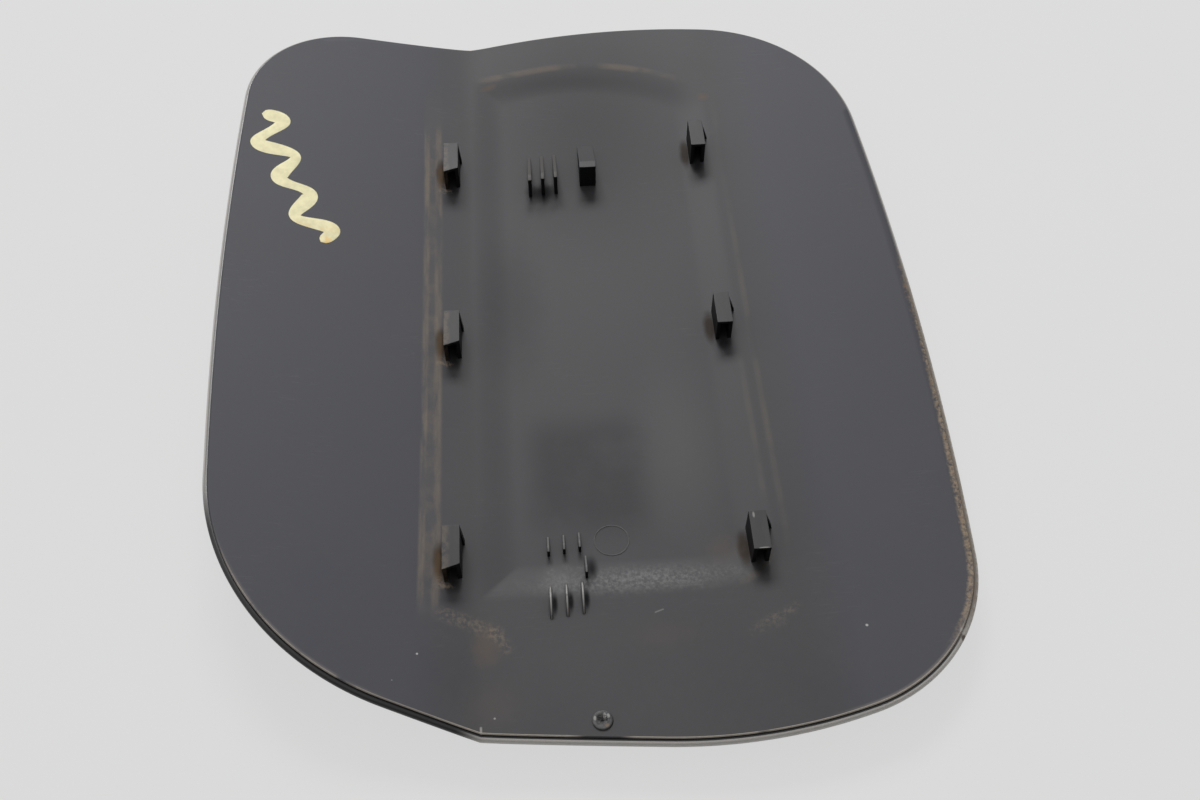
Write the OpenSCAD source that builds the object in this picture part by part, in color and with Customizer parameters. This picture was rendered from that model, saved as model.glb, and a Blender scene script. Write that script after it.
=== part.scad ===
// Skin of a car's fuel door: one moulded shell that lies on its painted outer face, inner face up.
// The plan is drawn from the crease, where x is 0, and from a datum across the middle row of clips,
// where y is 0. The finished part is then moved so that its origin is the middle of its underside.

/* [Outline] */
// Distance from the crease to the side edge of the wing
wing_w = 62; // [45:0.5:80]
// Distance from the crease to the side edge of the main panel
main_w = 112; // [90:0.5:140]
// Upper end of the crease, above the datum
crease_top_y = 122; // [112:0.5:135]
// Lower end of the crease, below the datum
crease_low_y = 83; // [72:0.5:95]
// Upper corner of the wing, above the datum
wing_top_y = 120.5; // [105:0.5:135]
// How far the wing's upper corner sits inside its side edge
wing_top_in = 4.5; // [0:0.5:15]
// Rounding of the wing's upper corner
wing_top_r = 30; // [10:0.5:40]
// Widest place of the wing, above the datum
wing_side_y = 36; // [20:1:60]
// Bow of the wing's side edge
wing_side_r = 860; // [300:10:1500]
// Lower corner of the wing, below the datum
wing_low_y = 62; // [50:0.5:70]
// How far the wing's lower corner sits inside its side edge
wing_low_in = 7; // [0:0.5:15]
// Rounding of the wing's lower corner
wing_low_r = 60; // [30:0.5:70]
// Bend in the lower edge of the main panel, from the crease
low_bend_x = 57.5; // [45:0.5:70]
// Bend in the lower edge of the main panel, below the datum
low_bend_y = 88; // [80:0.5:98]
// Rounding of that bend
low_bend_r = 119; // [40:1:130]
// Lower corner of the main panel, below the datum
main_low_y = 75.5; // [60:0.5:80]
// How far that corner sits inside its side edge
main_low_in = 7.5; // [0:0.5:12]
// Rounding of that corner
main_low_r = 38; // [15:0.5:46]
// Widest place of the main panel, above the datum
main_side_y = 19.5; // [0:0.5:35]
// Bow of the main panel's side edge
main_side_r = 730; // [300:10:900]
// Upper corner of the main panel, above the datum
main_top_y = 121.5; // [108:0.5:126]
// How far that corner sits inside its side edge
main_top_in = 10.5; // [0:0.5:15]
// Rounding of that corner
main_top_r = 44.5; // [20:0.5:52]
// Bend in the upper edge of the main panel, from the crease
top_bend_x = 35.5; // [28:0.5:50]
// Bend in the upper edge of the main panel, above the datum
top_bend_y = 130.5; // [124:0.5:140]
// Rounding of that bend
top_bend_r = 164; // [60:1:180]

/* [Skin] */
// Wall thickness of the skin
skin_t = 2.6; // [2:0.1:4]
// Radius of the crown along the crease
crown_along_r = 1000; // [500:10:4000]
// Radius of the crown across the crease
crown_across_r = 900; // [500:10:4000]
// Lowest line of the crown, from the crease
crown_low_x = 27; // [10:0.5:45]
// Lowest line of the crown, above the datum
crown_low_y = 20; // [0:0.5:35]
// Angle at which the wing rises beyond the crease
wing_angle = 11; // [3:0.5:18]
// Softness of the crease
crease_soft = 4; // [1:0.5:8]
// How far the painted rim stands out beyond the inner face
rim_lip = 1.1; // [0.6:0.1:2]
// Depth of the step from the inner face down to the painted rim
rim_step = 0.6; // [0.45:0.05:0.9]
// Chamfer of the inner face's edge
rim_chamfer = 0.3; // [0.1:0.05:0.4]

/* [Dish] */
// Width of the dish from the crease
dish_w = 65; // [58:0.5:76]
// Lower edge of the dish, below the datum
dish_low_y = 52; // [46:0.5:58]
// Upper edge of the dish at the crease, above the datum
dish_top_y = 109; // [100:0.5:114]
// Upper edge of the dish at its side, above the datum
dish_side_top_y = 104; // [96:0.5:110]
// Top of the arch in the dish's upper edge, above the datum
dish_arch_y = 117; // [112:0.5:119]
// Place of the arch, from the crease
dish_arch_x = 36; // [28:0.5:44]
// Rounding of the arch
dish_arch_r = 60; // [30:1:70]
// Rounding of the dish's corners
dish_corner_r = 13; // [11:0.5:18]
// Depth of the dish
dish_depth = 0.7; // [0.2:0.05:1]
// Width over which the dish's edge blends down
dish_blend = 9; // [4:0.5:10]

/* [Clips] */
// Width of a clip across its slot
clip_w = 3.8; // [3.2:0.1:6]
// Length of a clip
clip_l = 9.3; // [7:0.1:12]
// Height of a clip above the skin
clip_h = 6.6; // [5:0.1:9]
// Wall of a clip
clip_wall = 0.9; // [0.6:0.05:1.2]
// Line of the clips beside the crease, on the wing's side
clip_wing_x = 5.2; // [4:0.1:9]
// Line of the clips on the main panel, from the crease
clip_main_x = 60.5; // [54:0.1:66]
// Lower row of clips, below the datum
clip_low_y = 41.7; // [34:0.1:46]
// Middle clip beside the crease, above the datum
clip_mid_wing_y = 18.5; // [8:0.5:30]
// Middle clip on the main panel, above the datum
clip_mid_main_y = 21; // [8:0.1:32]
// Upper clip beside the crease, above the datum
clip_top_wing_y = 74.5; // [60:0.5:88]
// Upper clip on the main panel, above the datum
clip_top_main_y = 80; // [62:0.5:88]
// How far the left wall of a wing clip runs ahead of its right wall
clip_slant = 1.2; // [0:0.1:2.5]
// Foot of a wing clip's gusset, out from its wall
gusset_wing_w = 0.5; // [0.3:0.1:2.5]
// Foot of a main clip's gusset, out from its wall
gusset_main_w = 1.9; // [0.3:0.1:2.5]
// Thickness of a gusset
gusset_t = 1.1; // [0.6:0.1:1.6]

/* [Locking tab] */
// Place of the locking tab, from the crease
tab_x = 30.6; // [24:0.1:40]
// Front face of the locking tab, above the datum
tab_front_y = 70; // [60:0.5:76]
// Width of the locking tab
tab_w = 4.3; // [3:0.1:6]
// Height of the locking tab
tab_h = 7; // [4:0.1:9]
// Level land behind the tab's front face
tab_land = 2.2; // [1:0.1:4]
// Length of the tab's lead-in ramp
tab_ramp = 14; // [8:0.5:16]

/* [Ribs] */
// Wall of the upper ribs
rib_t = 0.9; // [0.6:0.05:1.4]
// Distance between ribs
rib_pitch = 3.4; // [2.4:0.1:4]
// How far each rib stands behind its left neighbour
rib_stagger = 0.4; // [0:0.1:1]
// Middle rib of each group, from the crease
rib_x = 18.6; // [14:0.1:22]
// Front of the upper ribs, above the datum
top_rib_y = 67.4; // [58:0.1:72]
// Height of the upper ribs
top_rib_h = 6.2; // [3:0.1:8]
// Level land at the front of the upper ribs
top_rib_land = 2; // [1:0.1:4]
// Length of the ramp of the upper ribs
top_rib_ramp = 14; // [8:0.5:16]
// Wall of the lower ribs
low_rib_t = 0.6; // [0.5:0.05:1.2]
// Front of the short ribs, below the datum
short_rib_y = 40.9; // [36:0.1:44]
// Length of the short ribs
short_rib_l = 4.8; // [2:0.1:6]
// Height of the short ribs
short_rib_h = 2.3; // [1:0.1:4]
// Middle of the blade ribs, below the datum
blade_y = 52.8; // [50:0.1:56]
// Length of the blade ribs
blade_l = 7.8; // [5:0.1:10]
// Height of the blade ribs
blade_h = 2.4; // [1.2:0.1:3.4]
// Front of the stop rib, below the datum
stop_y = 47.3; // [45:0.1:48.5]
// How far the stop rib stands to the right of the middle rib
stop_side = 4.5; // [3.8:0.1:6]
// Length of the stop rib
stop_l = 5.4; // [3:0.1:7]
// Height of the stop rib
stop_h = 2.8; // [1.5:0.1:4]

/* [Moulding marks] */
// Place of the ejector mark, from the crease
ejector_x = 29.1; // [26:0.1:40]
// Place of the ejector mark, below the datum
ejector_y = 38.1; // [20:0.1:40]
// Diameter of the ejector mark
ejector_d = 8; // [5:0.1:10]
// Place of the gate, from the crease
gate_x = 24.2; // [15:0.1:40]
// Place of the gate, below the datum
gate_y = 80.3; // [74:0.1:81]
// Diameter of the gate's boss
gate_d = 4.4; // [3:0.1:6]
// Diameter of the crater that the broken gate leaves
crater_d = 2.4; // [1:0.1:2.8]

/* [Hidden] */

// Longest piece of a straight edge or an arc, and the most that an arc turns in one piece
PITCH = 9;
TURN = 10;
// How deep each moulded feature reaches into the skin
ROOT = 1.1;
// Overrun of a cut past the face that it opens
CLEAR = 1;
// Share of a short rib's length that is level
LAND_SHARE = 1 / 4;
// Top of the gate's boss against its foot
BOSS_DRAFT = 0.9;
// Raised line of the ejector mark, and the boss and crater of the gate
MARK_W = 0.4;
MARK_H = 0.14;
BOSS_H = 0.45;
CRATER_DEPTH = 0.35;
$fn = 48;

// Corners of the outline as x, y and rounding, from the upper end of the crease round to its lower end
WING_EDGE = [
    [0, crease_top_y, 0],
    [wing_top_in - wing_w, wing_top_y, wing_top_r],
    [-wing_w, wing_side_y, wing_side_r],
    [wing_low_in - wing_w, -wing_low_y, wing_low_r],
    [0, -crease_low_y, 0]
];
// The same from the lower end of the crease round the main panel to its upper end
MAIN_EDGE = [
    [0, -crease_low_y, 0],
    [low_bend_x, -low_bend_y, low_bend_r],
    [main_w - main_low_in, -main_low_y, main_low_r],
    [main_w, main_side_y, main_side_r],
    [main_w - main_top_in, main_top_y, main_top_r],
    [top_bend_x, top_bend_y, top_bend_r],
    [0, crease_top_y, 0]
];

function unit(v) = v / norm(v);
function flat(p) = [p.x, p.y];
function turned(v, a) = [v.x * cos(a) - v.y * sin(a), v.x * sin(a) + v.y * cos(a)];

// Length of straight edge that the rounding of corner i takes up on each side of it
function cut_at(corners, i) =
    i < 1 || i > len(corners) - 2 ? 0 :
    let (
        back = unit(flat(corners[i - 1]) - flat(corners[i])),
        ahead = unit(flat(corners[i + 1]) - flat(corners[i]))
    )
    corners[i].z / tan(acos(back * ahead) / 2);

// The corners with each rounding limited by the edges beside it
function edge_fit(corners, i) =
    norm(flat(corners[i + 1]) - flat(corners[i])) / (cut_at(corners, i) + cut_at(corners, i + 1) + 0.01);
function fitted(corners) = [
    for (i = [0:len(corners) - 1])
        let (
            before = i > 0 ? edge_fit(corners, i - 1) : 1,
            after = i < len(corners) - 1 ? edge_fit(corners, i) : 1
        )
        [corners[i].x, corners[i].y, corners[i].z * min(1, before, after)]
];

// Points of the arc that rounds corner b between a and c
function arc_at(a, b, c) =
    let (
        back = unit(flat(a) - flat(b)),
        ahead = unit(flat(c) - flat(b)),
        half = acos(back * ahead) / 2,
        middle = flat(b) + unit(back + ahead) * b.z / sin(half),
        start = flat(b) + back * b.z / tan(half) - middle,
        sweep = (180 - 2 * half) * sign(cross(-back, ahead)),
        steps = ceil(max(abs(sweep) / TURN, abs(sweep) * PI / 180 * b.z / PITCH))
    )
    [for (i = [0:steps]) middle + turned(start, sweep * i / steps)];

// Points along a path of rounded corners, with its straight stretches cut into short pieces
function path(corners) =
    let (
        last = len(corners) - 1,
        c = fitted(corners),
        bends = last > 1 ? [for (i = [1:last - 1]) each arc_at(c[i - 1], c[i], c[i + 1])] : [],
        stops = [flat(c[0]), each bends, flat(c[last])]
    )
    [
        for (i = [0:last_index(stops) - 1])
            let (gap = stops[i + 1] - stops[i], n = max(1, ceil(norm(gap) / PITCH)))
                for (k = [0:n - 1]) stops[i] + gap * k / n,
        flat(corners[last])
    ];
function last_index(list) = len(list) - 1;

// Share of a path's length that lies before each of its points
function shares(points) =
    let (runs = [for (i = 0, s = 0; i < len(points); s = s + step_at(points, i), i = i + 1) s])
    runs / runs[last_index(runs)];
function step_at(points, i) = i < last_index(points) ? norm(points[i + 1] - points[i]) : 0;

// Points of a path of rounded corners at given shares of its length
function along(corners, at) =
    let (points = path(corners), s = shares(points), n = last_index(points))
    [
        for (a = at)
            [
                lookup(a, [for (i = [0:n]) [s[i], points[i].x]]),
                lookup(a, [for (i = [0:n]) [s[i], points[i].y]])
            ]
    ];

// The outline is a closed ring: each stretch gives all its points but the last, which starts the next
function open_end(points) = [for (i = [0:last_index(points) - 1]) points[i]];
WING_POINTS = path(WING_EDGE);
MAIN_POINTS = path(MAIN_EDGE);
OUTLINE = concat(open_end(WING_POINTS), open_end(MAIN_POINTS));
WING_SHARES = open_end(shares(WING_POINTS));
MAIN_SHARES = open_end(shares(MAIN_POINTS));
N = len(OUTLINE);

// Edge of the dish drawn in by a distance, with one point for each point of the outline.
// Its side on the crease is the fold line of the panel.
function dish_ring(inset) = concat(
    along([[inset, dish_top_y - inset, 0], [inset, inset - dish_low_y, 0]], WING_SHARES),
    along([
        [inset, inset - dish_low_y, 0],
        [dish_w - inset, inset - dish_low_y, dish_corner_r - inset],
        [dish_w - inset, dish_side_top_y - inset, dish_corner_r - inset],
        [dish_arch_x, dish_arch_y - inset, dish_arch_r],
        [inset, dish_top_y - inset, 0]
    ], MAIN_SHARES)
);
DISH_MIDDLE = [dish_w / 2, (dish_side_top_y - dish_low_y) / 2];

function between(a, b, t) = [for (i = [0:N - 1]) a[i] + (b[i] - a[i]) * t];
function toward(ring, p, t) = [for (q = ring) q + (p - q) * t];

// The outline drawn in by a distance, square to itself
function outward(i) =
    let (v = unit(OUTLINE[(i + 1) % N] - OUTLINE[(i + N - 1) % N])) [v.y, -v.x];
function rim_ring(inset) = [for (i = [0:N - 1]) OUTLINE[i] - outward(i) * inset];

// Height of the outer face: a crown both ways, and the wing that rises beyond the crease
function outer_z(p) =
    (p.y - crown_low_y) ^ 2 / (2 * crown_along_r)
    + (p.x - crown_low_x) ^ 2 / (2 * crown_across_r)
    + tan(wing_angle) * (norm([p.x, crease_soft]) - p.x) / 2;

// How far the inner face sinks at a distance inside the dish's edge
function eased(t) = t * t * (3 - 2 * t);
function dish_sink(inset) = dish_depth * eased(max(0, min(1, inset / dish_blend)));
function inner_z(p, inset = 0) = outer_z(p) + skin_t - dish_sink(inset);

// Height and slope of the inner face at any place that carries a moulded feature
function dish_inset(p) = min(p.x, dish_w - p.x, p.y + dish_low_y, dish_side_top_y - p.y);
function face_z(p) = inner_z(p, dish_inset(p));
function slope_x(p) = atan(face_z([p.x + 1, p.y]) - face_z(p));
function slope_y(p) = atan(face_z([p.x, p.y + 1]) - face_z(p));

function at_inner(ring, inset = 0) = [for (p = ring) [p.x, p.y, inner_z(p, inset)]];
function at_outer(ring) = [for (p = ring) [p.x, p.y, outer_z(p)]];

// Shares of the way from the dish's edge to the rim, closer together beside the crease
SPREAD = [0.05, 0.14, 0.3, 0.5, 0.75];
FOLD_STEP = 4;
FACE_EDGE = rim_lip + rim_chamfer;
RIM_T = skin_t - rim_step;

// Rings of the skin, from the middle of the inner face over the rim to the middle of the outer face
INNER_RINGS = concat(
    [for (t = [0.7, 0.35]) at_inner(toward(dish_ring(dish_blend), DISH_MIDDLE, t), dish_blend)],
    [for (k = [1, 0.75, 0.5, 0.25, 0]) at_inner(dish_ring(dish_blend * k), dish_blend * k)],
    [for (t = SPREAD) at_inner(between(dish_ring(0), rim_ring(FACE_EDGE), t))],
    [at_inner(rim_ring(FACE_EDGE))]
);
// The step down to the rim, and the rim itself: half an ellipse from the foot of the step
RIM_RINGS = concat(
    [[for (p = rim_ring(rim_lip)) [p.x, p.y, inner_z(p) - rim_chamfer]]],
    [
        for (a = [90:-30:-60])
            [
                for (p = rim_ring(rim_lip * (1 - cos(a))))
                    [p.x, p.y, outer_z(p) + RIM_T * (1 + sin(a)) / 2]
            ]
    ]
);
OUTER_RINGS = concat(
    [at_outer(rim_ring(rim_lip))],
    [for (i = [4:-1:0]) at_outer(between(dish_ring(0), rim_ring(rim_lip), SPREAD[i]))],
    [for (k = [0:2]) at_outer(dish_ring(FOLD_STEP * k))],
    [for (t = [0.35, 0.7]) at_outer(toward(dish_ring(FOLD_STEP * 2), DISH_MIDDLE, t))]
);
RINGS = concat(INNER_RINGS, RIM_RINGS, OUTER_RINGS);
INNER_POLE = [DISH_MIDDLE.x, DISH_MIDDLE.y, inner_z(DISH_MIDDLE, dish_blend)];
OUTER_POLE = [DISH_MIDDLE.x, DISH_MIDDLE.y, outer_z(DISH_MIDDLE)];

// The origin is the middle of the part's box, at its lowest point
UNDERSIDE = [for (ring = OUTER_RINGS) for (p = ring) p.z];
ORIGIN = [
    (min([for (p = OUTLINE) p.x]) + max([for (p = OUTLINE) p.x])) / 2,
    (min([for (p = OUTLINE) p.y]) + max([for (p = OUTLINE) p.y])) / 2,
    min(OUTER_POLE.z, min(UNDERSIDE))
];

// The shell: its rings are joined by strips, and each pole by a fan
module shell() {
    points = [INNER_POLE, for (ring = RINGS) each ring, OUTER_POLE];
    last = len(points) - 1;
    first_of_last = last - N;
    strips = [
        for (r = [0:len(RINGS) - 2], i = [0:N - 1])
            let (a = 1 + r * N + i, b = 1 + r * N + (i + 1) % N)
                each [[a, a + N, b], [b, a + N, b + N]]
    ];
    inner_fan = [for (i = [0:N - 1]) [0, 1 + i, 1 + (i + 1) % N]];
    outer_fan = [for (i = [0:N - 1]) [last, first_of_last + (i + 1) % N, first_of_last + i]];
    faces = concat(inner_fan, strips, outer_fan);
    polyhedron(points, [for (f = faces) [f[2], f[1], f[0]]]);
}

// Places a feature on the inner face, upright, or square to the face with lean
module on_face(p, lean = false) {
    translate([p.x, p.y, face_z(p)])
        rotate(lean ? [slope_y(p), -slope_x(p), 0] : [0, 0, 0])
            children();
}

// Turns a profile of length and height into a wall of thickness t, standing along the crease
module wall(t) {
    rotate([90, 0, 90]) linear_extrude(t, center = true) children();
}

// A clip is a pocket open to the front, with a gusset at the back of its right wall
module clip(gusset_w, slant = 0) {
    half_w = clip_w / 2;
    back = clip_l / 2;
    pocket_l = clip_l + slant - clip_wall + CLEAR;
    difference() {
        translate([0, 0, -ROOT]) linear_extrude(clip_h + ROOT)
            polygon([[-half_w, -back - slant], [half_w, -back], [half_w, back], [-half_w, back]]);
        translate([clip_wall - half_w, -back - slant - CLEAR, -ROOT - CLEAR])
            cube([clip_w - 2 * clip_wall, pocket_l, clip_h - clip_wall + ROOT + CLEAR]);
    }
    translate([clip_w / 2, clip_l / 2 - gusset_t, 0]) rotate([90, 0, 0])
        translate([0, 0, -gusset_t]) linear_extrude(gusset_t)
            polygon([
                [-clip_wall / 2, -ROOT], [gusset_w, -ROOT], [gusset_w, 0],
                [0, clip_h - clip_wall], [-clip_wall / 2, clip_h - clip_wall]
            ]);
}

// A ramp that rises towards the front to a level land, with an upright front face at y 0
module ramp(t, h, land, run) {
    wall(t) polygon([[0, -ROOT], [land + run, -ROOT], [land + run, 0], [land, h], [0, h]]);
}

// A ramp of the lower ribs, of length l and height h
module short_ramp(l, h) {
    ramp(low_rib_t, h, l * LAND_SHARE, l * (1 - LAND_SHARE));
}

// A thin blade whose top edge is an arc
module blade(t, l, h) {
    r = (l * l / 4 + h * h) / (2 * h);
    wall(t) {
        intersection() {
            translate([0, h - r]) circle(r, $fn = 96);
            translate([-l / 2, 0]) square([l, h]);
        }
        translate([-l / 2, -ROOT]) square([l, ROOT]);
    }
}

module clips() {
    for (y = [-clip_low_y, clip_mid_wing_y, clip_top_wing_y])
        on_face([-clip_wing_x, y]) clip(gusset_wing_w, clip_slant);
    for (y = [-clip_low_y, clip_mid_main_y, clip_top_main_y])
        on_face([clip_main_x, y]) clip(gusset_main_w);
}

module ribs() {
    for (k = [-1:1]) {
        x = rib_x + k * rib_pitch;
        behind = k * rib_stagger;
        on_face([x, behind + top_rib_y]) ramp(rib_t, top_rib_h, top_rib_land, top_rib_ramp);
        on_face([x, behind - short_rib_y]) short_ramp(short_rib_l, short_rib_h);
        on_face([x, behind - blade_y]) blade(low_rib_t, blade_l, blade_h);
    }
    on_face([rib_x + stop_side, -stop_y]) short_ramp(stop_l, stop_h);
}

module marks() {
    on_face([ejector_x, -ejector_y], lean = true) difference() {
        translate([0, 0, -ROOT]) cylinder(h = ROOT + MARK_H, d = ejector_d);
        translate([0, 0, -ROOT - CLEAR]) cylinder(h = ROOT + MARK_H + 2 * CLEAR, d = ejector_d - 2 * MARK_W);
    }
    on_face([gate_x, -gate_y], lean = true)
        translate([0, 0, -ROOT]) cylinder(h = ROOT + BOSS_H, d1 = gate_d, d2 = gate_d * BOSS_DRAFT);
}

module door_skin() {
    color([0.30, 0.30, 0.32]) translate(-ORIGIN) difference() {
        union() {
            shell();
            clips();
            on_face([tab_x, tab_front_y]) ramp(tab_w, tab_h, tab_land, tab_ramp);
            ribs();
            marks();
        }
        on_face([gate_x, -gate_y], lean = true)
            translate([0, 0, BOSS_H - CRATER_DEPTH]) cylinder(h = CRATER_DEPTH * 2, d = crater_d);
    }
}

door_skin();
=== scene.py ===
"""Looks of a moulded car fuel door skin that lies inner face up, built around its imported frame."""

import math

import bmesh
import bpy
import numpy as np
from bpy.props import FloatProperty, FloatVectorProperty, PointerProperty
from bpy.types import Operator, Panel, PropertyGroup
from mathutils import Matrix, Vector, kdtree


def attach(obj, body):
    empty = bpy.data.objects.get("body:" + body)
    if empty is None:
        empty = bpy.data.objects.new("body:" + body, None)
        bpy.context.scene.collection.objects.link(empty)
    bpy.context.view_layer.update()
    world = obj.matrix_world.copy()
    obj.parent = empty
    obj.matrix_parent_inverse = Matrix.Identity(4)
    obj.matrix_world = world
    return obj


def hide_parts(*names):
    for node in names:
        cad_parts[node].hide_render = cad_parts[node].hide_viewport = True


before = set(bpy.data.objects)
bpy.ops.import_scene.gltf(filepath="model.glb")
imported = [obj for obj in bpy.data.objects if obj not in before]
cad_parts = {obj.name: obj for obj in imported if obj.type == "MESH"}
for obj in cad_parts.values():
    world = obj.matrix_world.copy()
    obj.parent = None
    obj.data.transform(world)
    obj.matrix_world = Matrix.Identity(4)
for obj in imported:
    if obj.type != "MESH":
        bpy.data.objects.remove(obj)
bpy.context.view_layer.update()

bl_info = {
    "name": "Fuel Door Skin",
    "version": (1, 0, 0),
    "blender": (4, 5, 0),
    "location": "View3D > Sidebar > Fuel Door",
    "description": "Builds the looks of a moulded car fuel door skin around its frame",
    "category": "Object",
}

MM = 0.001
BODY = "root"
NODE = "door_skin"
SHEEN = "Specular IOR Level"
INNER, PAINTED = 0, 1

# A gap that counts as none, and the most that an arc of the outline turns in one piece
TINY = 0.01 * MM
ARC_TURN = math.radians(4)
# Where the lowest point of the outer face is looked for, across from the crown's lowest line
LOW_SEARCH = np.linspace(-0.03, 0.01, 81)
# Samples on each piece of a ring that distances are measured to
RING_SAMPLES = 8

# Shares of the way across each part of the skin's section at which its rings lie
MIDDLE_SHARES = np.linspace(0.985, 0.03, 30)
BLEND_SHARES = np.linspace(1, 0, 19)
PANEL_SHARES = np.linspace(0, 1, 40)[1:] ** 1.6
CHAMFER_SHARES = (0.25, 0.6, 1.0)
STEP_SHARES = (0.5, 0.85)
RIM_ANGLES = np.radians(np.arange(90, -91, -12))
OUTER_PANEL_SHARES = np.linspace(1, 0, 22)[1:] ** 1.4
OUTER_BLEND_SHARES = (0.25, 0.5, 0.75, 1.0)
OUTER_MIDDLE_SHARES = np.linspace(0.06, 0.98, 16)

# Edges of the moulded features: those below this height sit in the skin and stay sharp
ROOT_LINE = -0.2 * MM
ROUNDED_FROM = math.radians(25)
RIB_ROUNDING = 0.12 * MM
# Bend of a ramp's slope, where 1 is straight
RAMP_HOLLOW = 1.12

# The broken gate: softness of its crater's edge, width and height of the torn lip, roughness of the
# crater's floor, the share of the boss that is level, and how far its skirt reaches down
CRATER_SOFT = 0.09 * MM
TORN_W = 0.35 * MM
TORN_H = 0.5 * MM
CRATER_ROUGH = 0.07 * MM
BOSS_LEVEL = 0.86
BOSS_SKIRT = 0.8 * MM

# The marker's stroke: its ends from the crease and the datum, its waves, and its film's section
STROKE_START, STROKE_END = (-54.0, 86.5), (-37.5, 46.0)
STROKE_WAVES = 3.5
STROKE_SWAY = 4.4 * MM
FILM_T = 0.05 * MM
FILM_LIFT = 0.01 * MM
FILM_ROOT = 0.08 * MM

# Places of the pale dot and of the dark spot, painted shade of a small notch, on the rim at the lower right, in
# millimetres
NICK_DOT, NICK_NOTCH = (99.17, -66.78), (99.03, -68.14)
# Share of the lighter, bluish tint, a painted sky reflection, in the plastic of the moulded features
FEATURE_TINT = 0.1

# The sky's bright side, and how far it reaches from dim to bright
SKY_BRIGHT_SIDE = (-0.25, 0.75, 0.62)
SKY_DIM_AT, SKY_BRIGHT_AT = -0.45, 0.85
FLOOR_HALF = 3.0
FLOOR_DROP = 0.05 * MM


def length(name, mm, about):
    """A length that is given here in millimetres"""
    return FloatProperty(name=name, description=about, default=mm * MM, unit="LENGTH", precision=5)


def share(name, default, about):
    """A plain number, such as a strength or a share"""
    return FloatProperty(name=name, description=about, default=default, min=0.0, max=4.0)


def colour(name, rgb, about):
    """A colour in linear light"""
    return FloatVectorProperty(
        name=name, description=about, default=rgb, size=3, subtype="COLOR", min=0, max=1)


def angle(name, degrees, about):
    """An angle that is given here in degrees"""
    return FloatProperty(name=name, description=about, default=math.radians(degrees), subtype="ANGLE")


class OutlineSizes(PropertyGroup):
    """Corners of the outline, from the crease and from the datum row of clips"""

    wing_w: length("Wing width", 62, "From the crease to the side edge of the wing")
    main_w: length("Main width", 112, "From the crease to the side edge of the main panel")
    crease_top_y: length("Crease top", 122, "Upper end of the crease, above the datum")
    crease_low_y: length("Crease foot", 83, "Lower end of the crease, below the datum")
    wing_top_y: length("Wing top", 120.5, "Upper corner of the wing, above the datum")
    wing_top_in: length("Wing top inset", 4.5, "How far that corner sits inside its side edge")
    wing_top_r: length("Wing top rounding", 30, "Rounding of that corner")
    wing_side_y: length("Wing side", 36, "Widest place of the wing, above the datum")
    wing_side_r: length("Wing side bow", 860, "Bow of the wing's side edge")
    wing_low_y: length("Wing foot", 62, "Lower corner of the wing, below the datum")
    wing_low_in: length("Wing foot inset", 7, "How far that corner sits inside its side edge")
    wing_low_r: length("Wing foot rounding", 60, "Rounding of that corner")
    low_bend_x: length("Lower bend place", 57.5, "Bend in the lower edge, from the crease")
    low_bend_y: length("Lower bend", 88, "Bend in the lower edge, below the datum")
    low_bend_r: length("Lower bend rounding", 119, "Rounding of that bend")
    main_low_y: length("Main foot", 75.5, "Lower corner of the main panel, below the datum")
    main_low_in: length("Main foot inset", 7.5, "How far that corner sits inside its side edge")
    main_low_r: length("Main foot rounding", 38, "Rounding of that corner")
    main_side_y: length("Main side", 19.5, "Widest place of the main panel, above the datum")
    main_side_r: length("Main side bow", 730, "Bow of the main panel's side edge")
    main_top_y: length("Main top", 121.5, "Upper corner of the main panel, above the datum")
    main_top_in: length("Main top inset", 10.5, "How far that corner sits inside its side edge")
    main_top_r: length("Main top rounding", 44.5, "Rounding of that corner")
    top_bend_x: length("Upper bend place", 35.5, "Bend in the upper edge, from the crease")
    top_bend_y: length("Upper bend", 130.5, "Bend in the upper edge, above the datum")
    top_bend_r: length("Upper bend rounding", 164, "Rounding of that bend")
    pitch: length("Point pitch", 1.25, "Longest piece of the outline")
    margin: length("Margin", 0.06, "How far the outline stays inside the frame's own")


class SkinSizes(PropertyGroup):
    """Section of the skin and its dish"""

    skin_t: length("Wall", 2.6, "Wall thickness of the skin")
    crown_along_r: length("Crown along", 1000, "Radius of the crown along the crease")
    crown_across_r: length("Crown across", 900, "Radius of the crown across the crease")
    crown_low_x: length("Lowest line across", 27, "Lowest line of the crown, from the crease")
    crown_low_y: length("Lowest line along", 20, "Lowest line of the crown, above the datum")
    wing_angle: angle("Wing angle", 11, "Angle at which the wing rises beyond the crease")
    crease_soft: length("Crease softness", 4, "Softness of the crease")
    rim_lip: length("Rim lip", 1.1, "How far the painted rim stands out beyond the inner face")
    rim_step: length("Rim step", 0.6, "Depth of the step down to the painted rim")
    rim_chamfer: length("Rim chamfer", 0.3, "Chamfer of the inner face's edge")
    dish_w: length("Dish width", 65, "Width of the dish from the crease")
    dish_low_y: length("Dish foot", 52, "Lower edge of the dish, below the datum")
    dish_top_y: length("Dish top", 109, "Upper edge of the dish at the crease, above the datum")
    dish_side_top_y: length("Dish side top", 104, "Upper edge of the dish at its side")
    dish_arch_x: length("Arch place", 36, "Place of the arch, from the crease")
    dish_arch_y: length("Arch top", 117, "Top of the arch in the dish's upper edge")
    dish_arch_r: length("Arch rounding", 60, "Rounding of the arch")
    dish_corner_r: length("Dish corners", 13, "Rounding of the dish's corners")
    dish_depth: length("Dish depth", 0.7, "Depth of the dish")
    dish_blend: length("Dish blend", 9, "Width over which the dish's edge blends down")


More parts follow.
